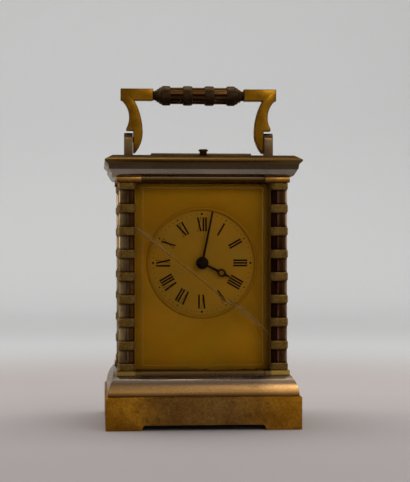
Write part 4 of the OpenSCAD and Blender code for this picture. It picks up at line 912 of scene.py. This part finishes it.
# %% Setting small solids on points
def setting_tree(name, finish, sides=0):
    """A tree that sets a bead on each point, or a low disc if it has sides."""
    tree = bpy.data.node_groups.new(name, "GeometryNodeTree")
    add, named = Shade(tree).make, {}
    for key, way, kind in (
        ("Points", "INPUT", "Geometry"), ("Radius", "INPUT", "Float"),
        ("Height", "INPUT", "Float"), ("Solids", "OUTPUT", "Geometry"),
    ):
        socket = tree.interface.new_socket(name=key, in_out=way, socket_type="NodeSocket" + kind)
        named[key] = socket.identifier
    come = tree.nodes.new("NodeGroupInput").outputs
    points, radius, height = (Shade(tree, come[key]) for key in ("Points", "Radius", "Height"))
    if sides:
        solid = add("GeometryNodeMeshCylinder", Vertices=sides, Radius=1.0, Depth=1.0)
    else:
        solid = add("GeometryNodeMeshIcoSphere", Radius=1.0, Subdivisions=1)
    scale = add("CombineXYZ", X=radius, Y=radius, Z=height)
    shape = add("GeometryNodeTransform", Geometry=solid, Scale=scale)
    carried = "GeometryNodeInputNamedAttribute"
    facing = add(carried, {"data_type": "FLOAT_VECTOR"}, Name="facing")
    size = add(carried, {"data_type": "FLOAT"}, Name="size")
    turned = add("FunctionNodeAlignRotationToVector", {"axis": "Z"}, Vector=facing)
    on_points = "GeometryNodeInstanceOnPoints"
    copies = add(on_points, Points=points, Instance=shape, Rotation=turned, Scale=size)
    real = add("GeometryNodeRealizeInstances", Geometry=copies)
    dressed = add("GeometryNodeSetMaterial", Geometry=real, Material=finish)
    plug(tree, tree.nodes.new("NodeGroupOutput").inputs["Solids"], dressed)
    return tree, named


def set_on_points(mesh, tree_and_names, places, **lengths):
    """Adds the solids to a bmesh. Each place is a point, the direction it faces and a size."""
    tree, named = tree_and_names
    points, facings, sizes = zip(*places)
    data = bpy.data.meshes.new("points")
    data.from_pydata(points, [], [])
    new_attribute = data.attributes.new
    new_attribute("facing", "FLOAT_VECTOR", "POINT").data.foreach_set("vector", np.ravel(facings))
    new_attribute("size", "FLOAT", "POINT").data.foreach_set("value", sizes)
    holder = new_object(data)
    modifier = holder.modifiers.new("set", "NODES")
    modifier.node_group = tree
    for key, value in lengths.items():
        modifier[named[key]] = value
    ready = holder.evaluated_get(bpy.context.evaluated_depsgraph_get())
    mesh.from_mesh(bpy.data.meshes.new_from_object(ready))
    bpy.data.objects.remove(holder)
    print(tree.name, "set on points:", len(places))


bead_tree = setting_tree("punched_beads", grained_band)
print("tree sockets:", bead_tree[1])

# %% [markdown]
# The four columns are alike but mirrored. The rods and the bands of each are two pieces that
# together stand for the column's node.

# %% Columns
for side, end in (("left", "front"), ("left", "rear"), ("right", "front"), ("right", "rear")):
    node = f"column_{end}_{side}"
    corner = (1 if side == "right" else -1, 1 if end == "rear" else -1)
    add_piece(node + "_rods", column_rods(corner), node)
    bands, beads = column_bands(corner)
    set_on_points(bands, bead_tree, beads, Radius=bead_r, Height=bead_h)
    add_piece(node + "_bands", bands, node, finish=grained_band)

# %% [markdown]
# The grip is a lying bundle of six rods with four barrel-shaped bands, and a cone with small
# rings leads to the bar at each end. All but the rods is turned, so one function spins a
# profile about the grip's axis.

# %% Handle grip
grip_low, grip_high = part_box("handle_grip")
grip_z = (grip_low.z + grip_high.z) / 2
rod_count, rods_at, grip_rod_r, rods_reach = 6, 2.85 * mm, 1.8 * mm, 20.5 * mm
spindle_r, spindle_reach = 1.5 * mm, 31.4 * mm
grip_pitch = (2 * 20.7 * mm - 5 * mm) / 3
grip_band_r, grip_band_draw = 5.4 * mm, 0.6 * mm
grip_band_widths = [5.0 * mm, 5.4 * mm, 5.4 * mm, 5.0 * mm]
bead_rows, beads_round, beads_at = 6, 46, 5.38 * mm
# The neck's X and radius, in millimetres, from the last band to the bar.
neck = [
    (20.4, 4.3), (20.9, 4.75), (21.6, 4.7), (22.1, 4.2), (22.5, 3.6), (22.8, 3.75), (23.2, 3.7),
    (23.5, 3.1), (24.2, 2.85), (24.5, 2.5), (24.8, 2.75), (25.1, 2.7), (25.35, 2.3),
]


def spin_x(mesh, profile, sides=48):
    """A profile of (x, radius) pairs turned about the grip's axis, closed at both ends."""
    rays = circle(sides)
    stack_rings(mesh, [[Vector((x, r * c, grip_z + r * s)) for c, s in rays] for x, r in profile])


rods = bmesh.new()
for k in range(rod_count):
    a = math.radians(30 + 60 * k)
    centre = Vector((math.cos(a), math.sin(a))) * rods_at
    plan = [centre + ray * grip_rod_r for ray in circle(32)]
    ends = (-rods_reach, rods_reach)
    stack_rings(rods, [[Vector((x, y, grip_z + up)) for y, up in plan] for x in ends])
spin_x(rods, [(-spindle_reach, spindle_r), (spindle_reach, spindle_r)], 24)
add_piece("grip_rods", rods, "handle_grip")

# %% [markdown]
# The grip's bands carry beads as the columns' bands do.

# %% Bands and necks of the grip
bands, beads = bmesh.new(), []
for k, w in enumerate(grip_band_widths):
    middle = (k - 1.5) * grip_pitch
    profile = [(middle - w / 2 + h, grip_band_r - d) for h, d in barrel_steps(w, grip_band_draw)]
    spin_x(bands, profile)
    for row in range(bead_rows):
        x = middle + (row - (bead_rows - 1) / 2) * bead_gap * 0.9
        for i in range(beads_round):
            a = math.tau * (i + (row % 2) / 2) / beads_round
            ray = Vector((0, math.cos(a), math.sin(a)))
            beads.append((Vector((x, 0, grip_z)) + ray * beads_at, ray, 1.0))
grip_tree = setting_tree("grip_beads", grip_band_finish)
set_on_points(bands, grip_tree, beads, Radius=bead_r, Height=0.15 * mm)
add_piece("grip_bands", bands, "handle_grip", finish=grip_band_finish)
necks = bmesh.new()
for side in (-1, 1):
    spin_x(necks, [(side * x * mm, r * mm) for x, r in neck])
add_piece("grip_necks", necks, "handle_grip", finish=grip_band_finish)

# %% [markdown]
# The dial's round opening has a thin half-round ring on its edge and a fine track inside it.
# Both are spun about the dial's own axis.

# %% Ring and track round the dial
dial_r, ring_r = 28.6 * mm, 0.8 * mm
ring_back = mask_low.y + 0.1 * mm
# The track's radius and its height over the dial, in millimetres.
track = [(27.5, 0.0), (27.56, 0.05), (27.74, 0.05), (27.8, 0.0), (27.65, -0.05)]


def spin_y(profile, sides=128):
    """A closed profile of (radius, y) pairs turned about the dial's axis."""
    mesh = bmesh.new()
    x, _, z = dial_centre
    rings = [[(x + r * c, y, z + r * s) for r, y in profile] for c, s in circle(sides)]
    stack_rings(mesh, rings, round_and_round=True)
    return mesh


half_round = [
    (dial_r + ring_r + ring_r * math.cos(t), mask_low.y - ring_r * 0.4 * math.sin(t))
    for t in np.linspace(0, math.pi, 9)
]
ring = spin_y([*half_round, (dial_r, ring_back), (dial_r + 2 * ring_r, ring_back)])
# The ring's finish is darker than the mask's: painted shade round the dial.
add_piece("dial_ring", ring, slot="mask_gilt", finish=finishes["ring_gilt"], smooth=50)
groove = spin_y([(r * mm, dial_low.y - h * mm) for r, h in track])
add_piece("dial_track", groove, slot="dial_gilt", finish=finishes["mask_gilt"], smooth=50)

# %% [markdown]
# The front panel is cracked from its left edge down to its right. The walls of a crack turn
# the light aside, so it shows as a pale line with a brown one along it. Splinters whiten its
# ends, a painted glint lies on the right bevel high up, and a smear of dirt lies along part
# of it. Each is a thin closed ribbon on the panel's outer face, laid through a few points with
# a little seeded wander.

# %% Ribbons on the front panel
glass_low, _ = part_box("front_glass")
ribbon_t = 0.02
rng = np.random.default_rng(7)


def split_line(points, wander, step=1.2):
    """The line through the points, in short steps with a little wander."""
    line = []
    for a, b in zip(points, points[1:]):
        parts = max(1, round(math.dist(a, b) / step))
        for i in range(parts):
            line.append((a[0] + (b[0] - a[0]) * i / parts, a[1] + (b[1] - a[1]) * i / parts))
    line.append(points[-1])
    return [(x + rng.normal(0, wander), z + rng.normal(0, wander)) for x, z in line]


def ribbon(mesh, line, widths, shift=0.0):
    """A thin closed strip in the plane of the panel's outer face, in millimetres."""
    rings = []
    for i, (x, z) in enumerate(line):
        (ax, az), (bx, bz) = line[max(i - 1, 0)], line[min(i + 1, len(line) - 1)]
        across_it = Vector((az - bz, 0, bx - ax)).normalized()
        half = np.interp(i / (len(line) - 1), np.linspace(0, 1, len(widths)), widths) / 2
        middle = Vector((x, glass_low.y / mm, z)) + across_it * shift
        rings.append([
            (middle + across_it * (u * half) + Vector((0, v * ribbon_t, 0))) * mm for u, v in square
        ])
    stack_rings(mesh, rings)


def clear_mark(name, colour, alpha):
    """A patchy see-through mark that the dial shows through: the smear's dirt, and the crack's
    lines and glint, which are painted light and shade.
    """
    material, surface, s = new_material(name)
    flaw = grain(s, 1.2 * mm, detail=4.0).step(0.3, 0.7)
    set_surface(
        surface,
        Base_Color=flaw.mix(tuple(c * 0.6 for c in colour), colour),
        Roughness=0.6,
        Specular_IOR_Level=0.05,
        Alpha=flaw * alpha + alpha * 0.4,
    )
    return material


print("panel's outer face at", round(glass_low.y / mm, 2), "mm")

# %% [markdown]
# Points are X and Z in millimetres, and the widths are spread evenly along their line.

# %% Crack in the front panel
crack_line = [
    (-35.3, 107.4), (-30.2, 102.6), (-24.1, 98.3), (-15.6, 91.7), (-4.8, 83.4), (6.5, 74.1),
    (11.9, 68.7), (16.4, 66.2), (20.0, 64.0), (26.5, 59.8), (31.0, 55.6), (35.4, 51.2),
]
# The second of these is a painted glint on the right bevel, not a splinter.
splinters_and_glint = [
    ((-34.6, 110.6), (-35.2, 103.0), 0.5), ((32.7, 117.6), (32.2, 108.4), 0.8),
    ((14.2, 67.4), (22.0, 61.0), 0.6), ((18.9, 66.0), (27.0, 58.2), 0.35),
]
brown_splinters = [
    ((13.0, 69.5), (17.5, 66.8)), ((15.0, 68.6), (17.0, 65.6)), ((16.8, 68.2), (18.6, 66.2)),
]
smears = [
    ([(-33.5, 106.5), (-24.0, 98.6), (-16.0, 92.0)], [1.2, 2.6, 1.8, 0.4]),
    ([(14.0, 67.6), (21.0, 63.4), (33.0, 53.4)], [0.5, 2.8, 2.6, 1.4]),
]
main_line = split_line(crack_line, 0.12)
light, brown, smear = bmesh.new(), bmesh.new(), bmesh.new()
ribbon(light, main_line, [0.6, 0.5, 0.3, 0.3, 0.35, 0.3, 0.45, 0.6, 0.5, 0.3])
ribbon(brown, main_line, [0.3, 0.35, 0.4, 0.35, 0.4, 0.5, 0.5, 0.3, 0.3, 0.2], shift=-0.55)
for start, end, w in splinters_and_glint:
    ribbon(light, split_line([start, end], 0.2), [0.1, w, 0.1])
for start, end in brown_splinters:
    ribbon(brown, split_line([start, end], 0.15), [0.2, 0.5, 0.2])
for points, widths in smears:
    ribbon(smear, split_line(points, 0.1), widths)
for name, mesh, colour, alpha in (
    ("crack_haze", smear, (0.34, 0.22, 0.09), 0.13),
    ("crack_light", light, (0.36, 0.24, 0.1), 0.26),
    ("crack_brown", brown, (0.09, 0.045, 0.008), 0.4),
):
    add_piece(name, mesh, slot="glass", finish=clear_mark(name, colour, alpha), smooth=30)

# %% [markdown]
# The numerals are radial Roman numbers whose feet point at the middle. A stroke is a thin
# raised plate. The left stroke of X and V is thick and the right one a hairline, and short
# serifs close each stroke.

# %% Strokes of the numerals
numeral_in, numeral_out = 17.2 * mm, 24.7 * mm
thick, hairline = 0.95 * mm, 0.22 * mm
serif_h, wide_serif, narrow_serif = 0.22 * mm, 1.32 * mm, 1.0 * mm
letter_width = {"I": 1.42 * mm, "V": 3.1 * mm, "X": 3.1 * mm}


def bar(foot, top, width, low=numeral_in, high=numeral_out):
    """Four corners of a stroke from foot to top, as (u, v) with v outwards."""
    half = width / 2
    return [(foot - half, low), (foot + half, low), (top + half, high), (top - half, high)]


def serif(at, width, outer):
    low = numeral_out - serif_h if outer else numeral_in
    return bar(at, at, width, low, low + serif_h)


def letter_strokes(letter, x):
    """The strokes of one letter whose box starts at x."""
    middle = x + letter_width[letter] / 2
    if letter == "I":
        return [bar(middle, middle, thick)] + [serif(middle, wide_serif, o) for o in (False, True)]
    left, right = x + 0.75 * mm, x + letter_width[letter] - 0.65 * mm
    feet = (middle, middle) if letter == "V" else (right, left)
    strokes = [bar(feet[0], left, thick), bar(feet[1], right, hairline)]
    strokes += [serif(left, wide_serif, True), serif(right, narrow_serif, True)]
    if letter == "X":
        strokes += [serif(right, wide_serif, False), serif(left, narrow_serif, False)]
    return strokes


print("numerals from", round(numeral_in / mm, 1), "to", round(numeral_out / mm, 1), "mm")

# %% [markdown]
# Each number stands square on its own ray, centred by the sum of its letters' widths.

# %% Numerals
paint_t = 0.06 * mm
hours = ["XII", "I", "II", "III", "IIII", "V", "VI", "VII", "VIII", "IX", "X", "XI"]


def on_dial(u, v, clockwise, y):
    """A point u across and v out along the ray at that many degrees from the top."""
    a = math.radians(clockwise)
    x, z = u * math.cos(a) + v * math.sin(a), v * math.cos(a) - u * math.sin(a)
    return Vector((dial_centre.x + x, y, dial_centre.z + z))


numerals = bmesh.new()
depths = (dial_low.y - paint_t, dial_low.y)
for hour, text in enumerate(hours):
    x = -sum(letter_width[letter] for letter in text) / 2
    for letter in text:
        for stroke in letter_strokes(letter, x):
            rings = [[on_dial(u, v, hour * 30, y) for u, v in stroke] for y in depths]
            stack_rings(numerals, rings)
        x += letter_width[letter]
add_piece("dial_numerals", numerals, slot="blued_steel", smooth=30)

# %% [markdown]
# Outside the numerals runs a ring of sixty dots, bolder at each hour and boldest at the
# quarters. A dot's size is its radius in millimetres.

# %% Minute dots
dots_at, dot_h = 26.5 * mm, 0.15 * mm
places = []
for minute in range(60):
    size = 0.62 if minute % 15 == 0 else 0.42 if minute % 5 == 0 else 0.26
    at = on_dial(0, dots_at, minute * 6, dial_low.y - paint_t / 2)
    places.append((at, Vector((0, -1, 0)), size))
dots = bmesh.new()
dot_tree = setting_tree("minute_dots", finishes["blued_steel"], 12)
set_on_points(dots, dot_tree, places, Radius=1 * mm, Height=dot_h)
add_piece("minute_dots", dots, slot="blued_steel", smooth=30)

# %% [markdown]
# The gong is a wound steel strip and the balance has a hairspring. Their solids are coarse,
# so smoother windings stand for them: rings of a rectangular section set along a flat spiral
# and joined into one closed tube.

# %% Wound springs
def wound_strip(name, node, centre, up, r0, pitch, turns, half_wide, half_thick, per_turn):
    """A spiral in the plane of X and up that starts opposite to up. Its strip is half_wide
    each way in that plane."""
    right = Vector((1, 0, 0))
    normal = right.cross(up)
    rings = []
    for i in range(round(turns * per_turn) + 1):
        a = math.radians(-90) + i * math.tau / per_turn
        ray = right * math.cos(a) + up * math.sin(a)
        r = r0 + pitch * i / per_turn
        rings.append([
            centre + ray * (r + w * half_wide) + normal * (t * half_thick) for w, t in square
        ])
    mesh = bmesh.new()
    stack_rings(mesh, rings)
    add_piece(name, mesh, node)


gong_low, gong_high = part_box("gong")
gong_centre = Vector((0, (gong_low.y + gong_high.y) / 2, dial_centre.z))
wound_strip(
    "gong_winding", "gong", gong_centre, Vector((0, 0, 1)), r0=7 * mm, pitch=4 * mm, turns=3.25,
    half_wide=0.7 * mm, half_thick=1.1 * mm, per_turn=72,
)
spring_low, spring_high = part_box("hairspring")
spring_centre = Vector((0, -6 * mm, (spring_low.z + spring_high.z) / 2))
wound_strip(
    "hairspring_winding", "hairspring", spring_centre, Vector((0, 1, 0)), r0=1.5 * mm,
    pitch=0.62 * mm, turns=6, half_wide=0.08 * mm, half_thick=0.25 * mm, per_turn=60,
)

# %% [markdown]
# The clock stands on a broad sheet of pale paper that runs far back and bends up into a
# wall. Its tone turns from warm floor to cooler wall a little behind the clock, where the
# photograph has a soft line, so the wall itself can stand well out of the way. The floor is
# painted darker towards the front: painted shade.

# %% Floor and wall
sweep_from, bend_y, bend_r, wall_top, sweep_half = -3.0, 1.15, 0.3, 2.0, 3.0
material, surface, s = new_material("paper_sweep")
away = s.make("VectorMath", {"operation": "LENGTH"}, out=1, Vector=place(s))
# Painted shade: the floor is darker towards the front.
floor_tone = axes(s)[1].step(-0.2, 0.2).mix((0.25, 0.225, 0.222), (0.345, 0.31, 0.298))
wall_tone = away.step(0.7, 1.5).mix((0.475, 0.479, 0.48), (0.69, 0.7, 0.7))
fibre = grain(s, 1.5 * mm, detail=3.0).mix((0.97, 0.97, 0.97), (1.03, 1.03, 1.03))
paper = away.step(0.24, 0.64).mix(floor_tone, wall_tone)
set_surface(surface, Base_Color=paper.tint(fibre), Roughness=0.9)
section = [(sweep_from, 0.0), (bend_y - 0.2, 0.0)]
for a in np.linspace(0, math.pi / 2, 17):
    section.append((bend_y + bend_r * math.sin(a), bend_r - bend_r * math.cos(a)))
section.append((bend_y + bend_r, wall_top))
data = bpy.data.meshes.new("paper_sweep")
verts = [(x, y, z) for y, z in section for x in (-sweep_half, sweep_half)]
faces = [(2 * i, 2 * i + 1, 2 * i + 3, 2 * i + 2) for i in range(len(section) - 1)]
data.from_pydata(verts, [], faces)
data.shade_smooth()
data.materials.append(material)
sweep = new_object(data)
print("paper sweep faces:", len(faces))

# %% [markdown]
# The light is soft: a wide lamp overhead, a weaker one on each side, and a small one in front
# at the right, which the base moulding mirrors. The room in front stays dim, because polished
# metal mirrors it. Past the paper the camera sees an even grey.

# %% Light
aim = Vector((0, 0, 0.1))
# Each lamp's place, width, height and power.
lamps = {
    "lamp_above": ((0.05, 0.15, 1.2), 1.0, 0.6, 9),
    "lamp_front": ((0.52, -1.0, 0.66), 0.7, 0.35, 3.5),
    "lamp_left": ((-1.1, 0.3, 0.5), 0.5, 0.9, 4),
    "lamp_right": ((1.1, 0.3, 0.5), 0.5, 0.9, 3),
}
for name, (place_at, width, height, power) in lamps.items():
    data = bpy.data.lights.new(name, "AREA")
    data.shape = "RECTANGLE"
    data.size, data.size_y, data.energy = width, height, power
    put(data, place_at, aim - Vector(place_at))
world = bpy.data.worlds.new("room")
world.use_nodes = True
room = Shade(world.node_tree)
depth = room.make("TexCoord").parts()[1]
brightness = depth.step(-0.7, 0.15).mix((0.42, 0.41, 0.4), (0.88, 0.87, 0.86))
seen = room.make("LightPath").mix(brightness, (0.56, 0.56, 0.56))
plug(room.tree, world.node_tree.nodes["Background"].inputs["Color"], seen)
bpy.context.scene.world = world
bpy.context.scene.view_settings.view_transform = "Standard"
print("lamps:", list(lamps))

# %% [markdown]
# The last step updates the scene and hands it back.

# %% Finish
bpy.context.view_layer.update()
